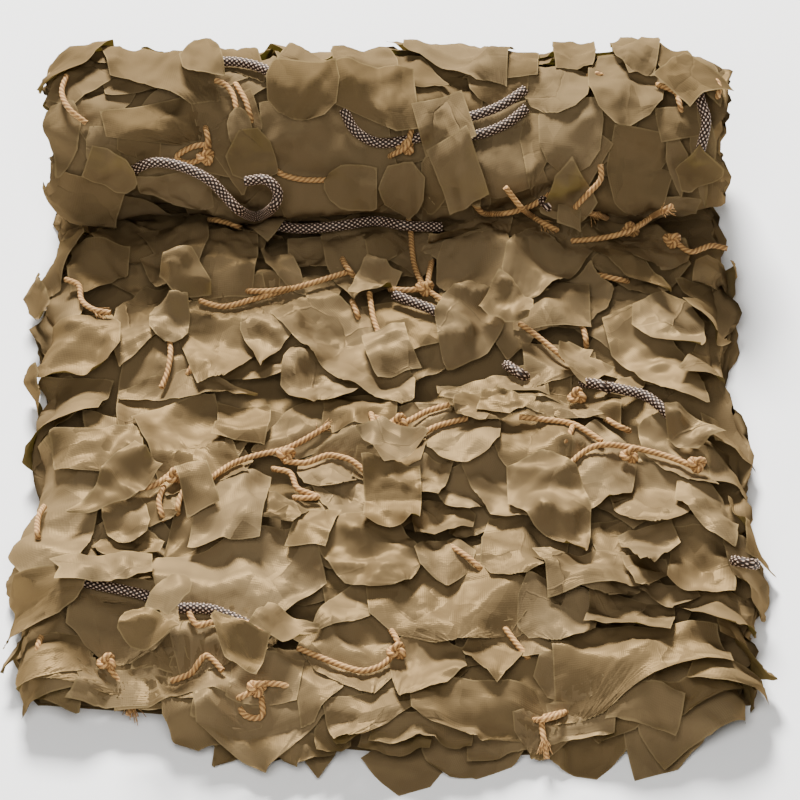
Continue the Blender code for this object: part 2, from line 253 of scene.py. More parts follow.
@dataclass
class RollChart:
    """The outside of the roll: u across, v round it from its foot by the back, h outwards. Metres."""

    strip: Strip
    crumple: "Crumple"
    leaf_room: float = 0.010
    shoulder: float = 0.016
    ceiling: Optional["Ceiling"] = None

    def radius(self, u: Array, v: Array) -> Array:
        """The radius of the cloth below the leaves.

        Args:
            u: Places across.
            v: Places round the roll.

        Returns:
            The radius at each.
        """
        angle = v / self.strip.roll_radius
        waves = np.sin(3.0 * angle + 17.0 * u) + 0.6 * np.sin(5.0 * angle - 29.0 * u + 1.0)
        swell = 0.0024 * waves * 0.5 * (1.0 - np.cos(angle))
        swell = swell + 0.8 * self.crumple.read(self.crumple.large, u + 0.07, v)
        inward = smoothstep((angle - 1.5 * np.pi) / (0.5 * np.pi)) * (
            self.strip.roll_depth + self.strip.turn_gap
        )
        return self.strip.roll_radius - self.leaf_room + swell - 0.6 * inward

    def place(self, u: Array, v: Array, h: Array) -> Array:
        """Turns chart places to points.

        Args:
            u: Places across, which run on round the shoulders and in over the roll's ends.
            v: Places round the roll.
            h: Heights off the cloth below the leaves.

        Returns:
            One point a row.
        """
        if self.ceiling is not None:
            h = self.ceiling.pressed(u, v, h)
        angle = v / self.strip.roll_radius
        half = self.strip.width / 2.0 + 0.004 - self.shoulder
        past = np.maximum(np.abs(u) - half, 0.0)
        turn = np.clip(past / (self.shoulder * np.pi / 2.0), 0.0, 1.0) * np.pi / 2.0
        beyond = np.maximum(past - self.shoulder * np.pi / 2.0, 0.0)
        across = np.minimum(np.abs(u), half) + (self.shoulder + h) * np.sin(turn)
        radius = self.radius(u, v) - self.shoulder + (self.shoulder + h) * np.cos(turn) - beyond
        x = np.sign(u) * across
        y = self.strip.roll_y + radius * np.sin(angle)
        z = np.maximum(self.strip.roll_radius - radius * np.cos(angle), 0.0005)
        return np.stack([x, y, z], axis=-1)

    def chart(self, points: Array) -> Array:
        """The (u, v, h) of points on the roll's round.

        Args:
            points: The points.

        Returns:
            Their places and heights on the chart.
        """
        y, z = points[:, 1] - self.strip.roll_y, points[:, 2] - self.strip.roll_radius
        angle = np.arctan2(y, -z) % (2.0 * np.pi)
        u, v = points[:, 0], angle * self.strip.roll_radius
        return np.stack([u, v, np.hypot(y, z) - self.radius(u, v)], axis=-1)


@dataclass
class Crumple:
    """A square of creased cloth that repeats: flat facets that meet in soft creases. Metres."""

    side: float = 0.320
    cells: int = 384
    seed: int = 5
    large: Array = field(init=False)
    fine: Array = field(init=False)

    def __post_init__(self) -> None:
        """Creases the square."""
        rng = np.random.default_rng(self.seed)
        large = self.softened(self.facets(rng, 0.021), 2.4)
        middle = self.softened(self.facets(rng, 0.0105), 1.5)
        small = self.softened(self.facets(rng, 0.0055), 1.0)
        # A soft mask, from 0 to 1, of where the cloth is most crumpled.
        crest_highlight_and_crumpling = self.softened(rng.normal(0.0, 1.0, (self.cells, self.cells)), 24.0)
        crest_highlight_and_crumpling = (crest_highlight_and_crumpling - crest_highlight_and_crumpling.min()) / (crest_highlight_and_crumpling.max() - crest_highlight_and_crumpling.min())
        self.large = 0.0026 * large
        self.fine = 0.0009 * middle * (0.15 + 1.7 * crest_highlight_and_crumpling**2) + 0.00034 * small * (0.2 + 1.5 * crest_highlight_and_crumpling)

    def softened(self, values: Array, cells: float) -> Array:
        """Blurs a repeating grid.

        Args:
            values: The grid.
            cells: The blur's width, in cells.

        Returns:
            The blurred grid.
        """
        turns = np.fft.fftfreq(self.cells)
        kept = np.exp(-2.0 * (np.pi * cells) ** 2 * (turns[:, None] ** 2 + turns[None, :] ** 2))
        return np.real(np.fft.ifft2(np.fft.fft2(values) * kept))

    def facets(self, rng: np.random.Generator, spacing: float) -> Array:
        """Flat facets between points of random height.

        Args:
            rng: The source of random numbers.
            spacing: The points' usual distance, in metres.

        Returns:
            Heights of unit spread, on the grid.
        """
        count = round(self.side / spacing)
        places = (np.arange(count) + 0.5) / count
        grid = np.stack(np.meshgrid(places, places), axis=-1).reshape(-1, 2)
        grid = grid + rng.uniform(-0.42, 0.42, grid.shape) / count
        tall = rng.normal(0.0, 1.0, len(grid))
        shifts = [(across, along) for across in (-1, 0, 1) for along in (-1, 0, 1)]
        spread = np.concatenate([grid + shift for shift in shifts])
        heights = np.tile(tall, len(shifts))
        near = ((spread > -0.15) & (spread < 1.15)).all(axis=1)
        spread, heights = spread[near], heights[near]
        points, _, triangles, origins, _, _ = delaunay_2d_cdt(
            [Vector(point) for point in spread.tolist()], [], [], 0, 1e-9
        )
        at = np.array([tuple(point) for point in points]) * self.cells
        tall = heights[[origin[0] for origin in origins]]
        made = np.zeros((self.cells, self.cells))
        for corners in triangles:
            self.fill(made, at[list(corners)], tall[list(corners)])
        return made

    def fill(self, made: Array, at: Array, tall: Array) -> None:
        """Fills one triangle of a grid with heights between its corners'.

        Args:
            made: The grid.
            at: The corners, in cells.
            tall: The corners' heights.
        """
        low = np.maximum(np.floor(at.min(axis=0)).astype(int), 0)
        high = np.minimum(np.ceil(at.max(axis=0)).astype(int), self.cells - 1)
        if (high < low).any():
            return
        xs, ys = np.meshgrid(np.arange(low[0], high[0] + 1), np.arange(low[1], high[1] + 1))
        edge_b, edge_c = at[1] - at[0], at[2] - at[0]
        area = edge_b[0] * edge_c[1] - edge_c[0] * edge_b[1]
        if abs(area) < 1e-9:
            return
        share_b = ((xs - at[0][0]) * edge_c[1] - edge_c[0] * (ys - at[0][1])) / area
        share_c = (edge_b[0] * (ys - at[0][1]) - (xs - at[0][0]) * edge_b[1]) / area
        inside = (share_b >= -1e-6) & (share_c >= -1e-6) & (share_b + share_c <= 1.0 + 1e-6)
        heights = tall[0] + share_b * (tall[1] - tall[0]) + share_c * (tall[2] - tall[0])
        made[ys[inside], xs[inside]] = heights[inside]

    def read(self, grid: Array, a: Array, b: Array) -> Array:
        """Reads a creased grid at places, between its cells.

        Args:
            grid: One of the square's grids.
            a: Places across, in metres.
            b: Places along, in metres.

        Returns:
            The height at each.
        """
        x, y = a / self.side * self.cells, b / self.side * self.cells
        column, row = np.floor(x).astype(int), np.floor(y).astype(int)
        right, up = x - column, y - row
        column, row = column % self.cells, row % self.cells
        next_column, next_row = (column + 1) % self.cells, (row + 1) % self.cells
        low = grid[row, column] * (1.0 - right) + grid[row, next_column] * right
        high = grid[next_row, column] * (1.0 - right) + grid[next_row, next_column] * right
        return low * (1.0 - up) + high * up


@dataclass
class Ceiling:
    """How high the cloth may stand under the cords that press it down, over a chart. Metres."""

    low: tuple[float, float]
    high: tuple[float, float]
    step: float = 0.0025
    free: float = 0.060

    def __post_init__(self) -> None:
        """Starts with nothing pressing."""
        size = [int((high - low) / self.step) + 2 for low, high in zip(self.low, self.high)]
        self.us = self.low[0] + self.step * np.arange(size[0])
        self.vs = self.low[1] + self.step * np.arange(size[1])
        self.height = np.full((size[1], size[0]), self.free)

    def press(self, line: Array, radius: float) -> None:
        """Presses the cloth down under a cord.

        Args:
            line: The cord's middle line, as rows of (u, v, h).
            radius: The cord's radius.
        """
        grid_u, grid_v = np.meshgrid(self.us, self.vs)
        for start, end in zip(line, line[1:]):
            for share in np.linspace(0.0, 1.0, 4):
                u, v, h = start + (end - start) * share
                away = np.hypot(grid_u - u, grid_v - v)
                limit = h - radius + 0.9 * np.maximum(away - radius * 0.9, 0.0)
                self.height = np.minimum(self.height, np.maximum(limit, 0.0016))

    def read(self, u: Array, v: Array) -> Array:
        """The limit at places: the least of the four cells round each.

        Args:
            u: Places across.
            v: Places along.

        Returns:
            The highest that cloth may stand at each.
        """
        column = np.clip(((u - self.low[0]) / self.step).astype(int), 0, len(self.us) - 2)
        row = np.clip(((v - self.low[1]) / self.step).astype(int), 0, len(self.vs) - 2)
        return np.minimum(
            np.minimum(self.height[row, column], self.height[row, column + 1]),
            np.minimum(self.height[row + 1, column], self.height[row + 1, column + 1])
        )

    def pressed(self, u: Array, v: Array, h: Array) -> Array:
        """Presses heights down below the limit, and keeps their order.

        Args:
            u: Places across.
            v: Places along.
            h: Heights before they are pressed.

        Returns:
            Heights that stay under the limit.
        """
        limit = self.read(u, v)
        above = np.maximum(h, 0.5 * limit)
        return np.where(h < 0.5 * limit, h, limit * (1.0 - 0.25 * limit / np.maximum(above, 1e-6)))


# ---- The pile of leaves ----

class LeafShape(Enum):
    """The cut outlines. Each row is (share of the length, left, right), in leaf widths."""

    TONGUE = (
        (0.0, -0.42, 0.42), (0.3, -0.5, 0.5), (0.68, -0.48, 0.46), (0.88, -0.33, 0.32), (1.0, -0.1, 0.1)
    )
    LEAF = ((0.0, -0.26, 0.26), (0.28, -0.5, 0.48), (0.6, -0.42, 0.4), (0.85, -0.2, 0.18), (1.0, -0.02, 0.02))
    DART = ((0.0, -0.5, 0.46), (0.4, -0.5, 0.5), (1.0, -0.02, 0.02))
    SQUARE = ((0.0, -0.5, 0.5), (0.5, -0.46, 0.5), (1.0, -0.5, 0.47))
    SLANT = ((0.0, -0.5, 0.5), (0.55, -0.5, 0.48), (1.0, -0.5, -0.22))
    BLADE = ((0.0, -0.38, 0.5), (0.6, -0.3, 0.5), (1.0, 0.3, 0.48))
    NOTCH = ((0.0, -0.5, 0.5), (0.46, -0.3, 0.5), (0.52, -0.5, 0.48), (0.8, -0.4, 0.32), (1.0, -0.3, 0.02))
    SPEAR = ((0.0, -0.14, 0.14), (0.45, -0.5, 0.5), (0.6, -0.42, 0.42), (1.0, -0.01, 0.01))


@dataclass
class Leaf:
    """One cut leaf: where its middle lies on a chart, and its size. Metres and radians."""

    u: float
    v: float
    angle: float
    length: float
    width: float
    shape: LeafShape
    lift: float
    curl: float
    bend: float
    crease: float


@dataclass
class Pile:
    """The height of the cloth laid so far over a chart. Metres."""

    low: tuple[float, float]
    high: tuple[float, float]
    step: float = 0.0025

    def __post_init__(self) -> None:
        """Starts with no cloth."""
        size = [int((high - low) / self.step) + 3 for low, high in zip(self.low, self.high)]
        self.height = np.zeros((size[1], size[0]))

    def cells(self, u: Array, v: Array) -> tuple[Array, Array]:
        """The row and the column of each place.

        Args:
            u: Places across.
            v: Places along.

        Returns:
            The rows and the columns.
        """
        column = np.clip(((u - self.low[0]) / self.step).astype(int), 1, self.height.shape[1] - 3)
        row = np.clip(((v - self.low[1]) / self.step).astype(int), 1, self.height.shape[0] - 3)
        return row, column

    def under(self, u: Array, v: Array) -> Array:
        """The most that the cloth stands to near each place.

        Args:
            u: Places across.
            v: Places along.

        Returns:
            The heights in metres.
        """
        row, column = self.cells(u, v)
        return np.maximum(
            np.maximum(self.height[row, column], self.height[row, column + 1]),
            np.maximum(self.height[row + 1, column], self.height[row + 1, column + 1])
        )

    def rise(self, u: Array, v: Array, h: Array) -> None:
        """Raises the pile to new cloth.

        Args:
            u: Places across.
            v: Places along.
            h: The new cloth's heights.
        """
        row, column = self.cells(u, v)
        for down in (0, 1):
            for across in (0, 1):
                np.maximum.at(self.height, (row + down, column + across), h)


@dataclass
class MeshParts:
    """Vertices, faces and vertex values that are gathered into one mesh."""

    points: list = field(default_factory=list)
    faces: list = field(default_factory=list)
    rims: list = field(default_factory=list)
    tones: list = field(default_factory=list)
    threads: list = field(default_factory=list)
    count: int = 0

    def add_grid(self, points: Array, rim: Array, tone: float, threads: Array) -> None:
        """Adds a grid of points as quads.

        Args:
            points: The grid, as rows of columns of points.
            rim: The distance to the cut edge, in millimetres, on the same grid.
            tone: The piece of cloth's shade, from 0 to 1.
            threads: Places along the two ways of the weave, in metres, on the same grid.
        """
        rows, columns = points.shape[:2]
        index = self.count + np.arange(rows * columns).reshape(rows, columns)
        quads = np.stack([index[:-1, :-1], index[:-1, 1:], index[1:, 1:], index[1:, :-1]], axis=-1)
        self.points.append(points.reshape(-1, 3))
        self.faces.append(quads.reshape(-1, 4))
        self.rims.append(rim.reshape(-1))
        self.tones.append(np.full(rows * columns, tone))
        self.threads.append(threads.reshape(-1, 2))
        self.count += rows * columns

    def build(self, name: str, finish: bpy.types.Material) -> bpy.types.Object:
        """Makes the mesh object.

        Args:
            name: The piece's name.
            finish: Its material.

        Returns:
            The object.
        """
        points, faces = np.concatenate(self.points), np.concatenate(self.faces)
        mesh = bpy.data.meshes.new(name)
        mesh.from_pydata(points.tolist(), [], faces.tolist())
        for label, values in (("rim_mm", self.rims), ("tone", self.tones)):
            layer = mesh.attributes.new(label, "FLOAT", "POINT")
            layer.data.foreach_set("value", np.concatenate(values).astype(np.float32))
        threads = np.concatenate(self.threads)[faces.reshape(-1)]
        mesh.uv_layers.new(name="threads").data.foreach_set("uv", threads.astype(np.float32).reshape(-1))
        mesh.shade_smooth()
        mesh.materials.append(finish)
        return add_object(name, mesh)


@dataclass
class LeafLayer:
    """Lays leaves on a chart, one upon another."""

    chart: object
    pile: Pile
    crumple: Crumple
    rng: np.random.Generator
    spacing: float = 0.0024
    gap: float = 0.0006
    bridging: int = 16
    most_folds: int = 7
    tallest_fold: float = 0.0026
    fold_reaches: tuple[float, float] = (0.0040, 0.0100)
    fold_heights: tuple[float, float] = (-0.0018, 0.0030)
    parts: MeshParts = field(default_factory=MeshParts)
    area: float = 0.0

    def folds(self, a: Array, b: Array, length: float) -> Array:
        """Straight creases over a leaf: low ridges and troughs, each with a sharp crest.

        Args:
            a: Places across the leaf.
            b: Places along it.
            length: Its length.

        Returns:
            The heights that they add.
        """
        raised = np.zeros(a.shape)
        for _ in range(int(self.rng.integers(2, self.most_folds + 1))):
            turn = self.rng.uniform(0.0, np.pi)
            off = self.rng.uniform(-0.35, 0.35) * length
            reach = self.rng.uniform(*self.fold_reaches)
            away = np.abs(a * math.cos(turn) + b * math.sin(turn) - off)
            raised = raised + self.rng.uniform(*self.fold_heights) * np.maximum(0.0, 1.0 - away / reach)
        return np.minimum(raised, self.tallest_fold)

    def outline(self, leaf: Leaf) -> tuple[Array, Array, Array]:
        """The leaf's left and right edges at even steps along it, with a step moved to each corner.

        Args:
            leaf: The leaf.

        Returns:
            Shares of the length, and the left and right edges there in metres.
        """
        rows = np.array(leaf.shape.value)
        steps = max(8, round(leaf.length / self.spacing))
        shares = np.linspace(0.0, 1.0, steps + 1)
        for corner in rows[1:-1, 0]:
            shares[np.argmin(np.abs(shares - corner))] = corner
        left = np.interp(shares, rows[:, 0], rows[:, 1]) * leaf.width
        right = np.interp(shares, rows[:, 0], rows[:, 2]) * leaf.width
        return shares, left, right

    def lay(self, leaf: Leaf) -> None:
        """Lays one leaf on the pile.

        Args:
            leaf: The leaf.
        """
        shares, left, right = self.outline(leaf)
        columns = max(6, round(leaf.width / self.spacing))
        across = np.linspace(0.0, 1.0, columns + 1)[None, :]
        a = left[:, None] + (right - left)[:, None] * across
        b = (shares[:, None] - 0.5) * leaf.length + 0.0 * across
        a = a + leaf.bend * leaf.length * ((shares - 0.5) ** 2)[:, None]
        cos, sin = math.cos(leaf.angle), math.sin(leaf.angle)
        u = leaf.u + a * cos + b * sin
        v = leaf.v + a * sin - b * cos
        floor = self.pile.under(u, v) + self.gap
        h = floor.copy()
        for _ in range(self.bridging):
            h = np.maximum(floor, box_blur(h))
        offset = self.rng.uniform(0.0, 1.0, 2)
        turn = self.rng.uniform(0.0, 2.0 * np.pi)
        ca = a * math.cos(turn) - b * math.sin(turn) + offset[0]
        cb = a * math.sin(turn) + b * math.cos(turn) + offset[1]
        crease = 1.55 * self.crumple.read(self.crumple.fine, ca, cb) + 0.16 * self.crumple.read(
            self.crumple.large, ca, cb
        )
        crease = crease + self.folds(a, b, leaf.length)
        crease = crease - np.percentile(crease, 12)
        h = np.maximum(h + leaf.crease * crease, floor)
        side = np.abs(across - 0.5) * 2.0
        h = h + leaf.lift * (shares**2)[:, None] + leaf.curl * side**3 * shares[:, None]
        # The distance to the cut edge, which the cloth's painted edge highlight follows.
        rim = np.minimum(np.minimum(a - a[:, :1], a[:, -1:] - a), ((1.0 - shares) * leaf.length)[:, None])
        rim = np.minimum(rim, (shares * leaf.length)[:, None])
        points = self.chart.place(u, v, h)
        threads = np.stack([a + offset[0] * 3.0, b + offset[1] * 3.0], axis=-1)
        self.parts.add_grid(points, rim / MM, float(self.rng.uniform()), threads)
        self.pile.rise(u, v, h)
        self.area += float(
            np.sum((right - left)[1:] + (right - left)[:-1]) * 0.5 / (len(shares) - 1) * leaf.length
        )


# ---- Cords: the border rope and the net's twine ----

# Diameters. The braid is drawn a little thinner than the rope, so that its strands stay within it.
ROPE = 0.0075
TWINE = 0.004
FIBRE = 0.0005
ROPE_DRAWN = 0.94


class End(Enum):
    """What is at a cord's far end."""

    OBJECT = "object"
    BARE = "bare"


@dataclass(frozen=True)
class Route:
    """One stretch of cord: points on the slanted plan in millimetres, and a diameter in metres."""

    name: str
    diameter: float
    points: tuple
    end: End = End.OBJECT


ROUTES = (
    Route("rope_top_left", ROPE, ((-119, 221), (-107, 221), (-93, 218), (-79, 211), (-72, 203))),
    Route("rope_top_bow", ROPE, ((-37, 190), (-31, 178), (-24, 172), (-14, 168), (0, 169), (14, 172))),
    Route("rope_top_pair_a", ROPE, ((37, 183), (52, 187), (67, 193), (82, 203))),
    Route("rope_top_pair_b", ROPE, ((41, 172), (56, 175), (70, 181), (83, 191))),
    Route("rope_top_right", ROPE, ((194, 205), (197, 194), (200, 184), (199, 174), (195, 158))),
    Route(
        "rope_hook",
        ROPE,
        ((-180, 147), (-163, 155), (-144, 153), (-125, 144), (-114, 133), (-105, 124), (-94, 120), (-83, 126))
        + ((-80, 136), (-88, 144), (-101, 143)),
    ),
    Route("rope_crease", ROPE, ((-82, 114), (-64, 112), (-39, 114), (-16, 117), (3, 114), (27, 113))),
    Route("rope_run_centre", ROPE, ((-4, 69), (8, 64), (21, 59), (34, 51), (44, 44))),
    Route("rope_run_right", ROPE, ((135, 9), (149, 6), (160, 3), (171, -5), (179, -13))),
    Route("rope_left_a", ROPE, ((-213, -118), (-192, -122), (-169, -127), (-158, -131))),
    Route("rope_left_b", ROPE, ((-145, -136), (-133, -136), (-123, -137), (-112, -141), (-99, -147))),
    Route("twine_roll_left", TWINE, ((-218, 212), (-221, 201), (-216, 190), (-205, 181))),
    Route("twine_roll_drop", TWINE, ((-121, 209), (-114, 206), (-109, 199), (-107, 190), (-105, 180))),
    Route(
        "twine_roll_loop",
        TWINE,
        ((-127, 178), (-125, 166), (-129, 158), (-140, 155), (-146, 159), (-137, 165), (-128, 167)),
    ),
    Route("twine_roll_centre", TWINE, ((-87, 155), (-78, 148), (-63, 144), (-41, 144))),
    Route("twine_roll_tie", TWINE, ((42, 146), (46, 133), (53, 123), (69, 122), (86, 127), (99, 135))),
    Route("twine_roll_slant", TWINE, ((69, 139), (80, 125), (93, 116), (103, 111)), End.BARE),
    Route("twine_roll_tail", TWINE, ((97, 133), (116, 125), (135, 119)), End.BARE),
    Route("twine_roll_hang", TWINE, ((131, 154), (131, 144), (122, 134), (114, 125), (110, 117))),
    Route(
        "twine_right_tail", TWINE, ((112, 104), (133, 106), (151, 111), (165, 120), (178, 127)), End.BARE
    ),
    Route("twine_right_long", TWINE, ((178, 105), (189, 97), (204, 101), (214, 99))),
    Route("twine_centre_drop", TWINE, ((3, 133), (7, 110), (9, 90), (17, 73), (37, 60))),
    Route("twine_back", TWINE, ((-131, 65), (-116, 61), (-99, 65), (-81, 70), (-59, 76), (-33, 84))),
    Route("twine_back_left", TWINE, ((-219, 79), (-210, 75), (-208, 65), (-200, 59), (-189, 57)), End.BARE),
    Route("twine_left_drop", TWINE, ((-151, 42), (-150, 30), (-152, 18), (-156, 8))),
    Route("twine_centre", TWINE, ((-20, 70), (-17, 52), (-10, 35))),
    Route("twine_right_back", TWINE, ((78, 50), (84, 46), (93, 39), (103, 31), (110, 25))),
    Route("twine_knot_a", TWINE, ((-17, -11), (-1, -16), (16, -8), (32, -3))),
    Route("twine_knot_b", TWINE, ((3, -30), (22, -18), (44, -12))),
    Route("twine_right", TWINE, ((78, -11), (96, -13), (114, -16), (132, -27))),
    Route(
        "twine_long_left",
        TWINE,
        ((-133, -60), (-123, -51), (-110, -42), (-93, -36), (-75, -32), (-59, -24), (-46, -16)),
        End.BARE,
    ),
    Route(
        "twine_long_right", TWINE, ((-76, -40), (-61, -41), (-47, -36), (-31, -40), (-22, -48), (-16, -59))
    ),
    Route("twine_left", TWINE, ((-180, -59), (-161, -56), (-149, -48), (-141, -49))),
    Route(
        "twine_right_bow",
        TWINE,
        ((105, -51), (114, -39), (128, -30), (145, -30), (165, -34), (181, -39), (195, -45)),
    ),
    Route("twine_front_bow", TWINE, ((-67, -162), (-45, -171), (-25, -177), (-10, -172), (0, -162))),
    Route("twine_front_left", TWINE, ((-138, -139), (-133, -147), (-116, -144), (-100, -146), (-86, -154))),
    Route("twine_front_low", TWINE, ((-150, -184), (-137, -179), (-127, -167), (-116, -177))),
    Route("twine_corner_tail", TWINE, ((-192, -172), (-182, -187), (-176, -198), (-178, -206)), End.BARE),
    Route("twine_front_tail", TWINE, ((108, -204), (93, -209), (94, -222), (96, -234)), End.BARE),
)


@dataclass(frozen=True)
class Plan:
    """The slanted plan that routes and leaves are drawn on, square to the line from its centre to the eye."""

    centre: Vector = Vector((0.007, -0.010, 0.050))
    elevation: float = math.radians(48.0)
    eye_distance: float = 2.6

    def towards_eye(self) -> Vector:
        """The unit direction from the plan's centre to the eye."""
        return Vector((0.0, -math.cos(self.elevation), math.sin(self.elevation)))

    def eye(self) -> Vector:
        """The eye point."""
        return self.centre + self.towards_eye() * self.eye_distance

    def dropped(self, tree: BVHTree, across: float, up: float) -> tuple[Optional[Vector], Vector]:
        """Where a place on the plan falls on the cloth.

        Args:
            tree: The cloth's tree.
            across: Metres to the right on the plan.
            up: Metres up on the plan.

        Returns:
            The point of the cloth, or None where it misses, and the unit way from there to the eye.
        """
        up_plan = Vector((0.0, math.sin(self.elevation), math.cos(self.elevation)))
        eye = self.eye()
        on_plan = self.centre + Vector((across, 0.0, 0.0)) + up_plan * up
        way = (on_plan - eye).normalized()
        hit, _, _, _ = tree.ray_cast(eye, way)
        return hit, -way


def smooth_curve(points: list, spacing: float) -> list:
    """Points at about a spacing along a smooth curve through others.

    Args:
        points: The points that the curve passes.
        spacing: The distance between the points made.

    Returns:
        The points made.
    """
    ends = [2.0 * points[0] - points[1]] + points + [2.0 * points[-1] - points[-2]]
    found = [points[0]]
    for before, start, end, after in zip(ends, ends[1:], ends[2:], ends[3:]):
        pieces = max(1, round((end - start).length / spacing))
        for piece in range(1, pieces + 1):
            share = piece / pieces
            bend = start * 2.0 + (end - before) * share
            bend += (before * 2.0 - start * 5.0 + end * 4.0 - after) * share**2
            bend += (start * 3.0 - before - end * 3.0 + after) * share**3
            found.append(bend / 2.0)
    return found


@dataclass
class CordLines:
    """Finds the middle lines of cords on the cloth, with long low humps over the cords laid before."""

    cloth: BVHTree
    plan: Plan
    clearance: float = 0.0005
    crossing: float = 0.0006
    points_per_diameter: float = 2.4
    rounds: int = 30
    parts_tested: int = 8
    steepest: float = 0.35
    starts: Array = field(default_factory=lambda: np.zeros((0, 3)))
    spans: Array = field(default_factory=lambda: np.zeros((0, 3)))
    radii: Array = field(default_factory=lambda: np.zeros(0))

    def gap(self, points: Array) -> Array:
        """The gap from each point to the nearest surface of the cords laid so far.

        Args:
            points: The points.

        Returns:
            The gaps in metres, and infinity where no cord is laid yet.
        """
        if len(self.starts) == 0:
            return np.full(len(points), np.inf)
        off = points[:, None, :] - self.starts[None]
        share = np.clip((off * self.spans).sum(-1) / (self.spans**2).sum(-1), 0.0, 1.0)
        away = np.linalg.norm(off - self.spans * share[..., None], axis=-1) - self.radii
        return away.min(axis=1)

    def lay(self, points: tuple, diameter: float) -> Optional[list]:
        """Lays one cord.

        Args:
            points: The route on the plan, in millimetres.
            diameter: The cord's diameter in metres.

        Returns:
            The middle line, or None where a point misses the cloth.
        """
        radius = diameter / 2.0
        route = [Vector(point) * MM for point in points]
        places = smooth_curve(route, self.points_per_diameter * diameter)
        drops = [self.plan.dropped(self.cloth, place.x, place.y) for place in places]
        if any(hit is None for hit, _ in drops):
            return None
        lifts = [radius + self.clearance] * len(drops)
        middle = [hit + way * lift for (hit, way), lift in zip(drops, lifts)]
        shares = [part / self.parts_tested for part in range(self.parts_tested + 1)]
        for _ in range(self.rounds):
            wanted = [0.0] * len(middle)
            for index in range(len(middle) - 1):
                tested = [middle[index].lerp(middle[index + 1], share) for share in shares]
                gaps = self.gap(np.array(tested))
                for point, cord_gap in zip(tested, gaps):
                    cloth_gap = self.cloth.find_nearest(point)[3]
                    short = max(radius + self.clearance - cloth_gap, radius + self.crossing - cord_gap)
                    for end in (index, index + 1):
                        wanted[end] = max(wanted[end], short)
            lifts = [lift + want for lift, want in zip(lifts, wanted)]
            for order in (range(1, len(lifts)), range(len(lifts) - 2, -1, -1)):
                for index in order:
                    near = index - order.step
                    reach = self.steepest * (middle[index] - middle[near]).length
                    lifts[index] = max(lifts[index], lifts[near] - reach)
            middle = [hit + way * lift for (hit, way), lift in zip(drops, lifts)]
            if max(wanted) < 1e-7:
                break
        line = np.array(middle)
        self.starts = np.concatenate([self.starts, line[:-1]])
        self.spans = np.concatenate([self.spans, line[1:] - line[:-1]])
        self.radii = np.concatenate([self.radii, np.full(len(line) - 1, radius)])
        return middle


def new_tree(name: str, sockets: tuple) -> tuple[bpy.types.NodeTree, bpy.types.Node, bpy.types.Node]:
    """Starts a Geometry Nodes tree.

    Args:
        name: The tree's name.
        sockets: (name, socket type, value or None) of each input after the geometry.

    Returns:
        The tree, its input node and its output node.
    """
    tree = bpy.data.node_groups.new(name, "GeometryNodeTree")
    tree.interface.new_socket("Geometry", in_out="INPUT", socket_type="NodeSocketGeometry")
    for label, kind, value in sockets:
        socket = tree.interface.new_socket(label, in_out="INPUT", socket_type=kind)
        if value is not None:
            socket.default_value = value
    tree.interface.new_socket("Geometry", in_out="OUTPUT", socket_type="NodeSocketGeometry")
    return tree, add_node(tree, "NodeGroupInput"), add_node(tree, "NodeGroupOutput")


def run_tree(made: bpy.types.Object, tree: bpy.types.NodeTree, values: dict, name: str) -> bpy.types.Object:
    """Runs a Geometry Nodes tree on an object, and keeps the plain mesh that comes out of it.

    Args:
        made: The object that goes in. It is removed.
        tree: The tree.
        values: The inputs' values, by name.
        name: The new object's name.

    Returns:
        A mesh object at the origin.
    """
    modifier = made.modifiers.new("nodes", "NODES")
    modifier.node_group = tree
    for item in tree.interface.items_tree:
        if item.in_out == "INPUT" and item.name in values:
            modifier[item.identifier] = values[item.name]
    graph = bpy.context.evaluated_depsgraph_get()
    mesh = bpy.data.meshes.new_from_object(made.evaluated_get(graph))
    made.modifiers.clear()
    bpy.data.objects.remove(made)
    mesh.name = name
    mesh.shade_smooth()
    return add_object(name, mesh)


def line_object(lines: list, name: str) -> bpy.types.Object:
    """A curve object with one straight-pieced spline for each line of points.

    Args:
        lines: Lists of points.
        name: The object's name.

    Returns:
        The curve object.
    """
    curve = bpy.data.curves.new(name, "CURVE")
    curve.dimensions = "3D"
    for line in lines:
        spline = curve.splines.new("POLY")
        spline.points.add(len(line) - 1)
        for point, place in zip(spline.points, line):
            point.co = (*place, 1.0)
    return add_object(name, curve)


class Strands(Enum):
    """How a cord's strands run: all one way, or two ways that pass over and under each other."""

    TWISTED = "twisted"
    BRAIDED = "braided"


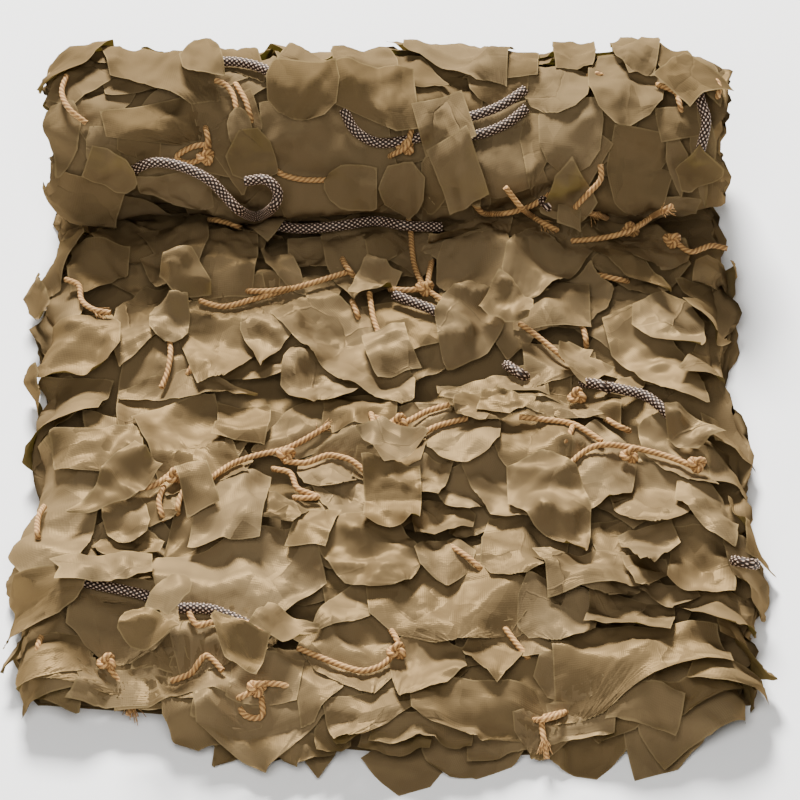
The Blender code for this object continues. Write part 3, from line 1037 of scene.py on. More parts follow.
@dataclass
class CordMaker:
    """Makes cords whose strands follow the line, as a Geometry Nodes tree. Sizes are in metres."""

    strands: Strands
    diameter: float
    finish: bpy.types.Material
    count: int
    advance: float
    groove: float
    step: float
    facets: int
    narrowing: float = 0.45
    tree: bpy.types.NodeTree = field(init=False)

    def __post_init__(self) -> None:
        """Builds the tree."""
        self.tree = self.build_tree()

    def build_tree(self) -> bpy.types.NodeTree:
        """The tree that sweeps a tube along the line and presses the grooves between strands into it.

        Returns:
            The tree.
        """
        sockets = (
            ("Radius", "NodeSocketFloat", 0.002), ("Strands", "NodeSocketFloat", 3.0),
            ("Advance", "NodeSocketFloat", 0.003), ("Groove", "NodeSocketFloat", 0.0005),
            ("Step", "NodeSocketFloat", 0.001), ("Facets", "NodeSocketInt", 16),
            ("Finish", "NodeSocketMaterial", None)
        )
        tree, inputs, outputs = new_tree(f"{self.strands.value}_cord", sockets)
        add, socket = partial(add_node, tree), inputs.outputs
        route = {"Curve": socket["Geometry"], "Length": socket["Step"]}
        resampled = add("GeometryNodeResampleCurve", route, mode="LENGTH")
        kept_along = self.captured(tree, resampled, add("GeometryNodeSplineParameter").outputs["Length"])
        ring = add(
            "GeometryNodeCurvePrimitiveCircle",
            {"Resolution": socket["Facets"], "Radius": socket["Radius"]}
        )
        kept_around = self.captured(tree, ring, add("GeometryNodeSplineParameter").outputs["Factor"])
        sweep = {"Curve": kept_along, "Profile Curve": kept_around, "Fill Caps": True}
        tube = add("GeometryNodeCurveToMesh", sweep)
        around = add(
            "ShaderNodeMath", {0: kept_around.outputs[1], 1: socket["Strands"]}, operation="MULTIPLY"
        )
        along = add("ShaderNodeMath", {0: kept_along.outputs[1], 1: socket["Advance"]}, operation="DIVIDE")
        one_way = add("ShaderNodeMath", {0: around, 1: along}, operation="ADD")
        height = self.ridge(add, one_way)
        if self.strands is Strands.BRAIDED:
            other_way = add("ShaderNodeMath", {0: around, 1: along}, operation="SUBTRACT")
            height = self.braid(add, one_way, other_way)
        below = add("ShaderNodeMath", {0: height, 1: 1.0}, operation="SUBTRACT")
        sunk = add("ShaderNodeMath", {0: below, 1: socket["Groove"]}, operation="MULTIPLY")
        pushed = {"Vector": add("GeometryNodeInputNormal"), "Scale": sunk}
        offset = add("ShaderNodeVectorMath", pushed, operation="SCALE")
        kept = {"Geometry": tube, "Name": "strand", "Value": height}
        stored = add("GeometryNodeStoreNamedAttribute", kept, data_type="FLOAT", domain="POINT")
        moved = add("GeometryNodeSetPosition", {"Geometry": stored, "Offset": offset})
        plain = add("GeometryNodeRealizeInstances", {"Geometry": moved})
        dressed = add("GeometryNodeSetMaterial", {"Geometry": plain, "Material": socket["Finish"]})
        tree.links.new(dressed.outputs[0], outputs.inputs["Geometry"])
        return tree

    def captured(self, tree: bpy.types.NodeTree, geometry: bpy.types.Node, value: object) -> bpy.types.Node:
        """Keeps a value on a curve's points.

        Args:
            tree: The tree.
            geometry: The node that makes the curve.
            value: The value's socket.

        Returns:
            The node, whose first output is the curve and whose second is the value.
        """
        node = add_node(tree, "GeometryNodeCaptureAttribute", {"Geometry": geometry}, domain="POINT")
        node.capture_items.new("FLOAT", "Value")
        tree.links.new(value, node.inputs[1])
        return node

    def ridge(self, add: Callable, phase: bpy.types.Node) -> bpy.types.Node:
        """A round ridge for each whole step of a phase: 0 at its sides and 1 along its middle.

        Args:
            add: Adds a node to the tree.
            phase: The phase.

        Returns:
            The ridge's last node.
        """
        part = add("ShaderNodeMath", {0: phase}, operation="FRACT")
        turned = add("ShaderNodeMath", {0: part, 1: math.pi}, operation="MULTIPLY")
        return add("ShaderNodeMath", {0: turned}, operation="SINE")

    def braid(self, add: Callable, first: bpy.types.Node, second: bpy.types.Node) -> bpy.types.Node:
        """The height of strands that run two ways, by turns over and under.

        Args:
            add: Adds a node to the tree.
            first: The phase of one way.
            second: The phase of the other.

        Returns:
            The node that gives the height, from 0 to 1.
        """
        steps = [add("ShaderNodeMath", {0: phase}, operation="FLOOR") for phase in (first, second)]
        whole = add("ShaderNodeMath", {0: steps[0], 1: steps[1]}, operation="ADD")
        turn = add("ShaderNodeMath", {0: whole, 1: 1.0}, operation="PINGPONG")
        less = add("ShaderNodeMath", {0: 1.0, 1: turn}, operation="SUBTRACT")
        shares = []
        for over, under, share in ((first, second, turn), (second, first, less)):
            end = add("ShaderNodeMath", {0: self.ridge(add, under), 1: self.narrowing}, operation="POWER")
            height = add("ShaderNodeMath", {0: self.ridge(add, over), 1: end}, operation="MULTIPLY")
            shares.append(add("ShaderNodeMath", {0: height, 1: share}, operation="MULTIPLY"))
        return add("ShaderNodeMath", {0: shares[0], 1: shares[1]}, operation="ADD")

    def make(self, lines: list, name: str) -> bpy.types.Object:
        """Makes one piece of cord, or several in one piece.

        Args:
            lines: The middle line of each.
            name: The piece's name.

        Returns:
            The mesh object.
        """
        values = {
            "Radius": self.diameter / 2.0, "Strands": float(self.count), "Advance": self.advance,
            "Groove": self.groove, "Step": self.step, "Facets": self.facets, "Finish": self.finish
        }
        return run_tree(line_object(lines, name), self.tree, values, name)


# ---- Finishes ----

def new_material(name: str) -> tuple[bpy.types.Material, bpy.types.NodeTree, bpy.types.Node]:
    """Starts a material.

    Args:
        name: The material's name.

    Returns:
        The material, its tree and its Principled node.
    """
    made = bpy.data.materials.new(name)
    made.use_nodes = True
    tree = made.node_tree
    return made, tree, tree.nodes["Principled BSDF"]


def set_stops(ramp: bpy.types.Node, low: tuple, middle: tuple, high: tuple) -> None:
    """Gives a colour ramp three stops.

    Args:
        ramp: The ramp's node.
        low: The place and the sRGB hex colour of the first.
        middle: Those of the second.
        high: Those of the third.
    """
    elements = ramp.color_ramp.elements
    for element, (place, colour) in ((elements[0], low), (elements[1], high)):
        element.color = linear(colour)
        element.position = place
    elements.new(middle[0]).color = linear(middle[1])


@dataclass(frozen=True)
class SpunTwine:
    """Cotton and jute twine, three strands twisted and unwaxed: matt, tan, painted shade in the grooves,
    painted highlight on the crests.
    """

    # The groove colour is painted shade between the strands, and the last colour is a painted highlight on
    # their crests.
    groove: str = "5F3D1C"
    strand: str = "9F7441"
    crest_highlight_and_crumpling: str = "BC9157"
    roughness: float = 0.82

    def make(self) -> bpy.types.Material:
        """The material.

        Returns:
            The material, which reads the cord's "strand" attribute.
        """
        made, tree, shader = new_material("spun_cotton_twine")
        add = partial(add_node, tree)
        strand = add("ShaderNodeAttribute", attribute_name="strand").outputs["Fac"]
        place = add("ShaderNodeTexCoord").outputs["Object"]
        patchy = add("ShaderNodeTexNoise", {"Scale": 90.0, "Detail": 3.0, "Vector": place})
        mixed = add("ShaderNodeMath", {0: patchy, 1: 0.55, 2: strand}, operation="MULTIPLY_ADD")
        ramp = add("ShaderNodeValToRGB", {"Fac": mixed})
        # The colour follows the strand's height, with patchy noise: painted shade in the grooves and a painted
        # highlight on the crests.
        set_stops(ramp, (0.35, self.groove), (0.95, self.strand), (1.0, self.crest_highlight_and_crumpling))
        # Hairs about 0.3 mm apart are too fine to show, so the bump is drawn at about 0.8 mm.
        hairs = add("ShaderNodeTexNoise", {"Scale": 1250.0, "Detail": 2.0, "Vector": place})
        bump = add("ShaderNodeBump", {"Strength": 0.5, "Distance": 0.0003, "Height": hairs})
        tree.links.new(ramp.outputs["Color"], shader.inputs["Base Color"])
        tree.links.new(bump.outputs["Normal"], shader.inputs["Normal"])
        shader.inputs["Roughness"].default_value = self.roughness
        return made


@dataclass(frozen=True)
class BraidedFilament:
    """Braided polypropylene filament: dark and glossy, with painted shade in the grooves and a pale painted
    highlight on every pick.
    """

    # The groove colour is painted shade between the picks, and the gleam colour is a painted highlight on
    # them.
    groove: str = "20150E"
    strand: str = "4E3A2C"
    gleam: str = "DCC0A8"
    roughness: float = 0.55
    specular: float = 0.2

    def make(self) -> bpy.types.Material:
        """The material.

        Returns:
            The material, which reads the cord's "strand" attribute.
        """
        made, tree, shader = new_material("braided_polypropylene")
        strand = add_node(tree, "ShaderNodeAttribute", attribute_name="strand").outputs["Fac"]
        ramp = add_node(tree, "ShaderNodeValToRGB", {"Fac": strand})
        # The colour follows the braid's height: painted shade in the grooves and a painted highlight on each
        # pick.
        set_stops(ramp, (0.35, self.groove), (0.66, self.strand), (0.92, self.gleam))
        tree.links.new(ramp.outputs["Color"], shader.inputs["Base Color"])
        shader.inputs["Roughness"].default_value = self.roughness
        shader.inputs["Specular IOR Level"].default_value = self.specular
        return made


@dataclass(frozen=True)
class GarnishTaffeta:
    """Plain-woven polyester taffeta with a thin proof coat: satin, heat-cut, thin enough to glow."""

    shade: str = "5B4A31"
    pale: str = "726045"
    glow: str = "86752C"
    # The rim colour is a painted highlight along each cut edge.
    rim: str = "85724F"
    gleam: str = "DDB87C"
    gleaming: float = 0.085
    roughness: float = 0.54
    passed: float = 0.06
    bands: float = 830.0 / 3.1416

    def make(self) -> bpy.types.Material:
        """The material.

        Returns:
            The material, which reads the cloth's "rim_mm" and "tone" attributes and its "threads" UV map.
        """
        made, tree, shader = new_material("coated_polyester_taffeta")
        add = partial(add_node, tree)
        place = add("ShaderNodeTexCoord").outputs["Object"]
        threads = add("ShaderNodeUVMap", uv_map="threads")
        clouds = add("ShaderNodeTexNoise", {"Scale": 26.0, "Detail": 4.0, "Vector": place})
        surface = self.surface(add, threads).outputs["Normal"]
        tree.links.new(self.colour(add, clouds), shader.inputs["Base Color"])
        tree.links.new(surface, shader.inputs["Normal"])
        shader.inputs["Roughness"].default_value = 1.0
        shader.inputs["Specular IOR Level"].default_value = 0.0
        # The proof coat's satin gleam is tinted by the yarn at every angle, so it is a shader of its own.
        least, most = self.roughness - 0.06, self.roughness + 0.08
        spread = {"From Min": 0.3, "From Max": 0.7, "To Min": least, "To Max": most, "Value": clouds}
        gloss = add("ShaderNodeMapRange", spread)
        satin = {"Color": linear(self.gleam), "Normal": surface, "Roughness": gloss}
        mirrored = add("ShaderNodeFresnel", {"IOR": 1.5, "Normal": surface})
        weaker = add("ShaderNodeMath", {0: mirrored, 1: self.gleaming}, operation="MULTIPLY")
        coated = add(
            "ShaderNodeMixShader", {0: weaker, 1: shader, 2: add("ShaderNodeBsdfAnisotropic", satin)}
        )
        lit = add("ShaderNodeBsdfTranslucent", {"Color": linear(self.glow), "Normal": surface})
        both = add("ShaderNodeMixShader", {0: self.passed, 1: coated, 2: lit})
        output = next(node for node in tree.nodes if node.type == "OUTPUT_MATERIAL")
        tree.links.new(both.outputs[0], output.inputs["Surface"])
        return made

    def colour(self, add: Callable, clouds: bpy.types.Node) -> object:
        """The cloth's colour: two shades in soft clouds, and a painted highlight along the cut edge.

        Args:
            add: Adds a node to the tree.
            clouds: The noise that the shades follow.

        Returns:
            The colour's socket.
        """
        tone = add("ShaderNodeAttribute", attribute_name="tone").outputs["Fac"]
        rim = add("ShaderNodeAttribute", attribute_name="rim_mm").outputs["Fac"]
        blend = add("ShaderNodeMath", {0: clouds, 1: 0.7, 2: tone}, operation="MULTIPLY_ADD")
        shaded = add("ShaderNodeMapRange", {"From Min": 0.15, "From Max": 1.55, "Value": blend})
        shades = {"Factor": shaded, 6: linear(self.shade), 7: linear(self.pale)}
        cloth = add("ShaderNodeMix", shades, data_type="RGBA").outputs[2]
        # Within about a millimetre of a cut edge, the colour turns up to halfway to the rim colour: a painted
        # highlight.
        edge = {"From Min": 0.35, "From Max": 1.1, "To Min": 0.5, "To Max": 0.0, "Value": rim}
        edge_highlighted = {"Factor": add("ShaderNodeMapRange", edge), 6: cloth, 7: linear(self.rim)}
        return add("ShaderNodeMix", edge_highlighted, data_type="RGBA").outputs[2]

    def surface(self, add: Callable, threads: bpy.types.Node) -> bpy.types.Node:
        """The cloth's small relief: flat crumpled facets, thin creases and the weave.

        Args:
            add: Adds a node to the tree.
            threads: The weave's UV map.

        Returns:
            The last bump node.
        """
        # Crumpled proofed cloth breaks into flat facets, about 31, 13 and 5 mm across, each tilted
        # its own way, which is what makes it glint in patches.
        bent = add("ShaderNodeTexNoise", {"Scale": 70.0, "Detail": 2.0, "Vector": threads}).outputs["Color"]
        nudge = {0: bent, 1: (0.006, 0.006, 0.0), 2: threads}
        shifted = add("ShaderNodeVectorMath", nudge, operation="MULTIPLY_ADD")
        patches = add("ShaderNodeTexNoise", {"Scale": 17.0, "Detail": 1.0, "Vector": threads})
        share = {"From Min": 0.36, "From Max": 0.66, "To Min": 0.12, "To Max": 1.0, "Value": patches}
        crumpled = add("ShaderNodeMapRange", share)
        flat = {"voronoi_dimensions": "2D", "feature": "F1"}
        normal = add("ShaderNodeNewGeometry").outputs["Normal"]
        for scale, tilt in ((32.0, 0.58), (78.0, 0.44), (210.0, 0.17)):
            cells = {"Scale": scale, "Randomness": 1.0, "Vector": shifted}
            facets = add("ShaderNodeTexVoronoi", cells, **flat).outputs["Color"]
            centred = add("ShaderNodeVectorMath", {0: facets, 1: (0.5, 0.5, 0.5)}, operation="SUBTRACT")
            tilted = add("ShaderNodeMath", {0: crumpled, 1: tilt}, operation="MULTIPLY")
            normal = add("ShaderNodeVectorMath", {0: centred, 1: tilted, 2: normal}, operation="MULTIPLY_ADD")
        unit = add("ShaderNodeVectorMath", {0: normal}, operation="NORMALIZE")
        # Thin hard creases run where the largest facets meet, in the crumpled places only.
        cells = {"Scale": 32.0, "Randomness": 1.0, "Vector": shifted}
        edges = add("ShaderNodeTexVoronoi", cells, **(flat | {"feature": "DISTANCE_TO_EDGE"}))
        groove = add("ShaderNodeMapRange", {"From Max": 0.03, "Value": edges.outputs["Distance"]})
        there = add(
            "ShaderNodeMapRange", {"From Min": 0.55, "From Max": 1.0, "To Max": 0.8, "Value": crumpled}
        )
        pressed = add(
            "ShaderNodeBump", {"Distance": 0.0004, "Strength": there, "Height": groove, "Normal": unit}
        )
        # Threads are 0.1 mm apart, too fine to show, so the weave is drawn at 1.2 mm, as a faint grain.
        waves = []
        for way in ("X", "Y"):
            bands = {"Scale": self.bands, "Distortion": 1.2, "Detail": 1.0, "Vector": threads}
            waves.append(add("ShaderNodeTexWave", bands, bands_direction=way).outputs["Fac"])
        crossed = add("ShaderNodeMath", {0: waves[0], 1: waves[1]}, operation="ADD")
        return add(
            "ShaderNodeBump", {"Strength": 0.18, "Distance": 0.0002, "Height": crossed, "Normal": pressed}
        )


@dataclass(frozen=True)
class PaleFloor:
    """Matt white painted board, rolled on: even and shadow-soft."""

    colour: str = "FAF9F7"

    def make(self) -> bpy.types.Material:
        """Makes the material.

        Returns:
            The material.
        """
        made, _, shader = new_material("white_painted_board")
        shader.inputs["Base Color"].default_value = linear(self.colour)
        shader.inputs["Roughness"].default_value = 0.9
        return made


# ---- The flaps that are placed one by one ----

# The camera's picture, on which the flaps' roots and tips are placed.
PICTURE_SIDE_PX = 800.0
PICTURE_MIDDLE_PX = 400.0
LENS = 179.0
SENSOR = 36.0

TONGUE, LEAF, DART, SQUARE = LeafShape.TONGUE, LeafShape.LEAF, LeafShape.DART, LeafShape.SQUARE
SLANT, BLADE, NOTCH, SPEAR = LeafShape.SLANT, LeafShape.BLADE, LeafShape.NOTCH, LeafShape.SPEAR


def on_plan(place: tuple) -> tuple[float, float]:
    """A place of the camera's picture (pixels) as millimetres across and up on the plan."""
    scale = Plan().eye_distance * SENSOR / (LENS * PICTURE_SIDE_PX) / MM
    return (place[0] - PICTURE_MIDDLE_PX) * scale, (PICTURE_MIDDLE_PX - place[1]) * scale


@dataclass(frozen=True)
class Flap:
    """One flap: root and tip in the camera's picture (pixels), width in millimetres, and outline."""

    root: tuple[int, int]
    tip: tuple[int, int]
    width: float
    shape: LeafShape


# In the order that they are laid, from the front edge back, and then up the roll.
FLAPS = (
    # Along the front edge.
    Flap((58, 668), (66, 712), 48, SQUARE),
    Flap((104, 676), (98, 717), 52, SLANT),
    Flap((190, 682), (197, 722), 46, DART),
    Flap((148, 688), (150, 722), 44, SQUARE),
    Flap((690, 690), (702, 724), 46, SLANT),
    Flap((738, 660), (740, 704), 40, SQUARE),
    Flap((606, 716), (600, 755), 46, DART),
    Flap((498, 716), (505, 764), 48, SQUARE),
    Flap((556, 720), (562, 762), 40, SLANT),
    Flap((396, 728), (394, 766), 46, SQUARE),
    Flap((232, 708), (226, 750), 44, SLANT),
    Flap((302, 736), (298, 776), 44, DART),
    Flap((420, 726), (421, 760), 66, SQUARE),
    Flap((343, 726), (318, 771), 24, LEAF),
    Flap((345, 732), (352, 775), 20, SLANT),
    Flap((262, 692), (268, 783), 84, DART),
    Flap((155, 668), (155, 716), 100, SQUARE),
    Flap((74, 636), (45, 706), 40, LEAF),
    Flap((372, 698), (385, 750), 66, SLANT),
    Flap((478, 684), (475, 750), 84, TONGUE),
    Flap((536, 716), (530, 763), 28, LEAF),
    Flap((580, 704), (582, 755), 42, SQUARE),
    Flap((648, 702), (640, 751), 46, SQUARE),
    Flap((725, 670), (712, 727), 38, SLANT),
    Flap((34, 614), (24, 671), 16, LEAF),
    # The second row.
    Flap((315, 662), (325, 735), 30, SLANT),
    Flap((268, 658), (262, 706), 46, SQUARE),
    Flap((350, 614), (374, 707), 76, LEAF),
    Flap((446, 638), (400, 714), 50, LEAF),
    Flap((490, 618), (497, 696), 40, SPEAR),
    Flap((592, 690), (592, 718), 32, SQUARE),
    Flap((536, 670), (608, 700), 26, LEAF),
    Flap((632, 626), (640, 726), 104, SLANT),
    Flap((745, 590), (738, 678), 38, TONGUE),
    Flap((124, 660), (183, 680), 26, LEAF),
    Flap((175, 616), (168, 674), 46, SQUARE),
    Flap((222, 608), (236, 661), 60, TONGUE),
    Flap((130, 582), (118, 664), 68, TONGUE),
    Flap((56, 578), (42, 635), 46, NOTCH),
    # The third row.
    Flap((388, 588), (310, 635), 30, LEAF),
    Flap((450, 554), (452, 648), 108, TONGUE),
    Flap((560, 594), (555, 652), 52, TONGUE),
    Flap((632, 594), (628, 642), 56, SQUARE),
    Flap((722, 580), (716, 643), 56, DART),
    Flap((600, 566), (600, 608), 54, TONGUE),
    Flap((668, 580), (672, 611), 40, DART),
    # The fourth row.
    Flap((228, 545), (264, 653), 108, SLANT),
    Flap((343, 522), (402, 595), 60, TONGUE),
    Flap((320, 512), (305, 558), 28, SQUARE),
    Flap((445, 540), (447, 591), 40, LEAF),
    Flap((528, 514), (520, 592), 56, TONGUE),
    Flap((580, 552), (596, 606), 62, SQUARE),
    Flap((526, 468), (588, 561), 50, LEAF),
    Flap((643, 558), (656, 598), 30, SLANT),
    Flap((700, 526), (695, 593), 38, SQUARE),
    Flap((643, 526), (664, 578), 36, SLANT),
    Flap((738, 530), (760, 593), 34, TONGUE),
    Flap((108, 566), (112, 603), 56, SQUARE),
    Flap((128, 530), (130, 570), 48, LEAF),
    Flap((38, 538), (28, 585), 28, LEAF),
    Flap((120, 500), (134, 543), 30, TONGUE),
    # The fifth row.
    Flap((392, 478), (392, 538), 38, SQUARE),
    Flap((462, 500), (414, 544), 40, LEAF),
    Flap((450, 468), (474, 510), 32, TONGUE),
    Flap((488, 454), (536, 521), 46, TONGUE),
    Flap((428, 458), (414, 500), 36, SQUARE),
    Flap((288, 502), (258, 541), 34, SLANT),
    Flap((234, 470), (225, 556), 48, SQUARE),
    Flap((648, 460), (662, 534), 58, TONGUE),
    Flap((688, 478), (722, 551), 32, LEAF),
    Flap((742, 488), (752, 552), 28, SQUARE),
    Flap((602, 440), (586, 526), 52, SLANT),
    Flap((44, 472), (42, 543), 24, LEAF),
    Flap((68, 436), (62, 577), 44, NOTCH),
    Flap((150, 468), (78, 524), 28, DART),
    # The sixth row.
    Flap((512, 398), (548, 488), 54, TONGUE),
    Flap((100, 432), (112, 479), 52, TONGUE),
    Flap((170, 408), (206, 485), 58, SQUARE),
    Flap((245, 400), (240, 447), 36, SQUARE),
    Flap((325, 450), (342, 488), 46, TONGUE),
    Flap((394, 436), (384, 484), 44, SLANT),
    Flap((390, 433), (313, 454), 20, LEAF),
    Flap((462, 410), (465, 475), 50, TONGUE),
    Flap((360, 390), (358, 432), 50, SQUARE),
    Flap((648, 418), (708, 489), 36, LEAF),
    Flap((518, 400), (605, 420), 20, LEAF),
    Flap((82, 368), (55, 440), 44, SLANT),
    Flap((728, 438), (733, 480), 36, SQUARE),
    Flap((725, 404), (732, 448), 34, SQUARE),
    # The seventh row.
    Flap((330, 348), (318, 408), 58, TONGUE),
    Flap((118, 385), (258, 388), 26, SPEAR),
    Flap((540, 368), (540, 403), 42, SQUARE),
    Flap((547, 384), (438, 392), 24, SLANT),
    Flap((642, 373), (604, 404), 18, LEAF),
    Flap((400, 297), (420, 352), 56, SQUARE),
    Flap((616, 312), (702, 401), 46, LEAF),
    Flap((724, 326), (700, 385), 34, SLANT),
    Flap((560, 344), (563, 389), 50, SLANT),
    Flap((214, 294), (247, 380), 68, SLANT),
    Flap((160, 285), (118, 367), 42, LEAF),
    Flap((80, 315), (88, 376), 52, TONGUE),
    Flap((270, 308), (262, 373), 36, DART),
    Flap((298, 298), (412, 402), 52, TONGUE),
    Flap((487, 298), (444, 369), 48, LEAF),
    Flap((52, 358), (40, 404), 22, LEAF),
    # The eighth row, at the roll's foot.
    Flap((315, 240), (312, 268), 38, SQUARE),
    Flap((648, 297), (692, 348), 46, LEAF),
    Flap((604, 280), (533, 334), 42, LEAF),
    Flap((548, 285), (552, 331), 54, SQUARE),
    Flap((702, 270), (716, 330), 38, NOTCH),
    Flap((728, 248), (688, 278), 28, LEAF),
    Flap((428, 246), (550, 300), 28, LEAF),
    Flap((475, 254), (470, 299), 50, TONGUE),
    Flap((575, 238), (513, 304), 46, TONGUE),
    Flap((583, 238), (672, 299), 24, LEAF),
    Flap((655, 236), (655, 274), 44, TONGUE),
    Flap((222, 234), (218, 299), 52, SQUARE),
    Flap((268, 254), (306, 295), 20, LEAF),
    Flap((345, 222), (350, 301), 36, LEAF),
    Flap((382, 226), (396, 269), 36, SLANT),
    Flap((172, 214), (178, 293), 48, NOTCH),
    Flap((42, 274), (64, 312), 24, LEAF),
    Flap((106, 244), (102, 292), 34, SLANT),
    Flap((62, 218), (78, 281), 36, SLANT),
    # The roll, from its foot up.
    Flap((172, 172), (178, 204), 50, SLANT),
    Flap((90, 178), (80, 216), 48, SQUARE),
    Flap((66, 100), (65, 179), 22, LEAF),
    Flap((105, 127), (103, 171), 24, TONGUE),
    Flap((140, 134), (138, 163), 30, SLANT),
    Flap((150, 104), (158, 149), 68, SLANT),
    Flap((320, 94), (345, 207), 88, SQUARE),
    Flap((222, 96), (246, 188), 44, DART),
    Flap((463, 164), (444, 216), 46, TONGUE),
    Flap((488, 108), (510, 187), 52, SQUARE),
    Flap((464, 132), (414, 198), 26, SLANT),
    Flap((541, 114), (530, 183), 24, DART),
    Flap((648, 130), (632, 207), 48, NOTCH),
    Flap((600, 134), (552, 195), 24, SLANT),
    Flap((572, 100), (566, 167), 44, TONGUE),
    Flap((560, 68), (552, 116), 46, TONGUE),
    Flap((674, 138), (683, 196), 16, LEAF),
    Flap((696, 86), (703, 205), 16, SPEAR),
    Flap((676, 106), (681, 139), 30, SQUARE),
    Flap((630, 60), (620, 127), 54, TONGUE),
    Flap((372, 80), (378, 135), 56, SLANT),
    Flap((305, 80), (300, 123), 50, TONGUE),
    Flap((310, 63), (288, 96), 36, TONGUE),
    Flap((498, 68), (498, 105), 42, TONGUE),
    Flap((516, 50), (514, 80), 34, SQUARE),
    Flap((362, 47), (368, 93), 46, TONGUE),
    Flap((460, 42), (450, 83), 74, SLANT),
    Flap((150, 50), (170, 113), 72, SLANT),
    Flap((102, 46), (56, 87), 36, LEAF),
    Flap((203, 46), (264, 86), 36, LEAF),
    Flap((693, 56), (715, 105), 16, LEAF),
    Flap((655, 42), (686, 89), 26, TONGUE),
    # Flaps that stand up against the light on the roll's top.
    Flap((642, 78), (622, 18), 34, LEAF),
    Flap((576, 72), (572, 24), 30, TONGUE),
    Flap((438, 50), (432, 26), 64, TONGUE),
    Flap((356, 50), (352, 28), 22, DART),
    Flap((486, 48), (480, 28), 20, DART),
    Flap((158, 56), (156, 42), 24, TONGUE),
    Flap((210, 54), (214, 40), 32, TONGUE),
)


@dataclass(frozen=True)
class Gap:
    """A dark gap between flaps: its two ends in the camera's picture (pixels)."""

    start: tuple[int, int]
    end: tuple[int, int]


GAPS = (
    Gap((372, 298), (440, 303)),
    Gap((560, 372), (600, 374)),
    Gap((612, 372), (650, 376)),
    Gap((284, 262), (300, 243)),
    Gap((310, 240), (348, 243)),
    Gap((200, 390), (310, 390)),
    Gap((446, 537), (505, 531)),
    Gap((372, 646), (405, 632)),
    Gap((172, 340), (190, 336)),
    Gap((422, 384), (474, 377)),
    Gap((66, 436), (80, 440)),
    Gap((272, 500), (322, 502)),
    Gap((640, 442), (640, 420)),
    Gap((734, 428), (734, 466)),
    Gap((634, 584), (668, 566)),
    Gap((92, 656), (110, 653)),
    Gap((90, 264), (92, 316)),
    Gap((520, 352), (556, 362)),
    # On the roll.
    Gap((130, 196), (160, 212)),
    Gap((676, 160), (680, 200)),
    Gap((708, 94), (704, 128)),
)


def leaf_holds(leaf: Leaf, line: Array, holding: float) -> Array:
    """Which points of a line on the chart lie within a share of a leaf's length and width.

    Args:
        leaf: The leaf.
        line: The points.
        holding: The share, from the middle.

    Returns:
        True for each point within it.
    """
    off_u, off_v = line[:, 0] - leaf.u, line[:, 1] - leaf.v
    a = off_u * math.cos(leaf.angle) + off_v * math.sin(leaf.angle)
    b = off_u * math.sin(leaf.angle) - off_v * math.cos(leaf.angle)
    return (np.abs(a) < holding * leaf.width) & (np.abs(b) < holding * leaf.length)


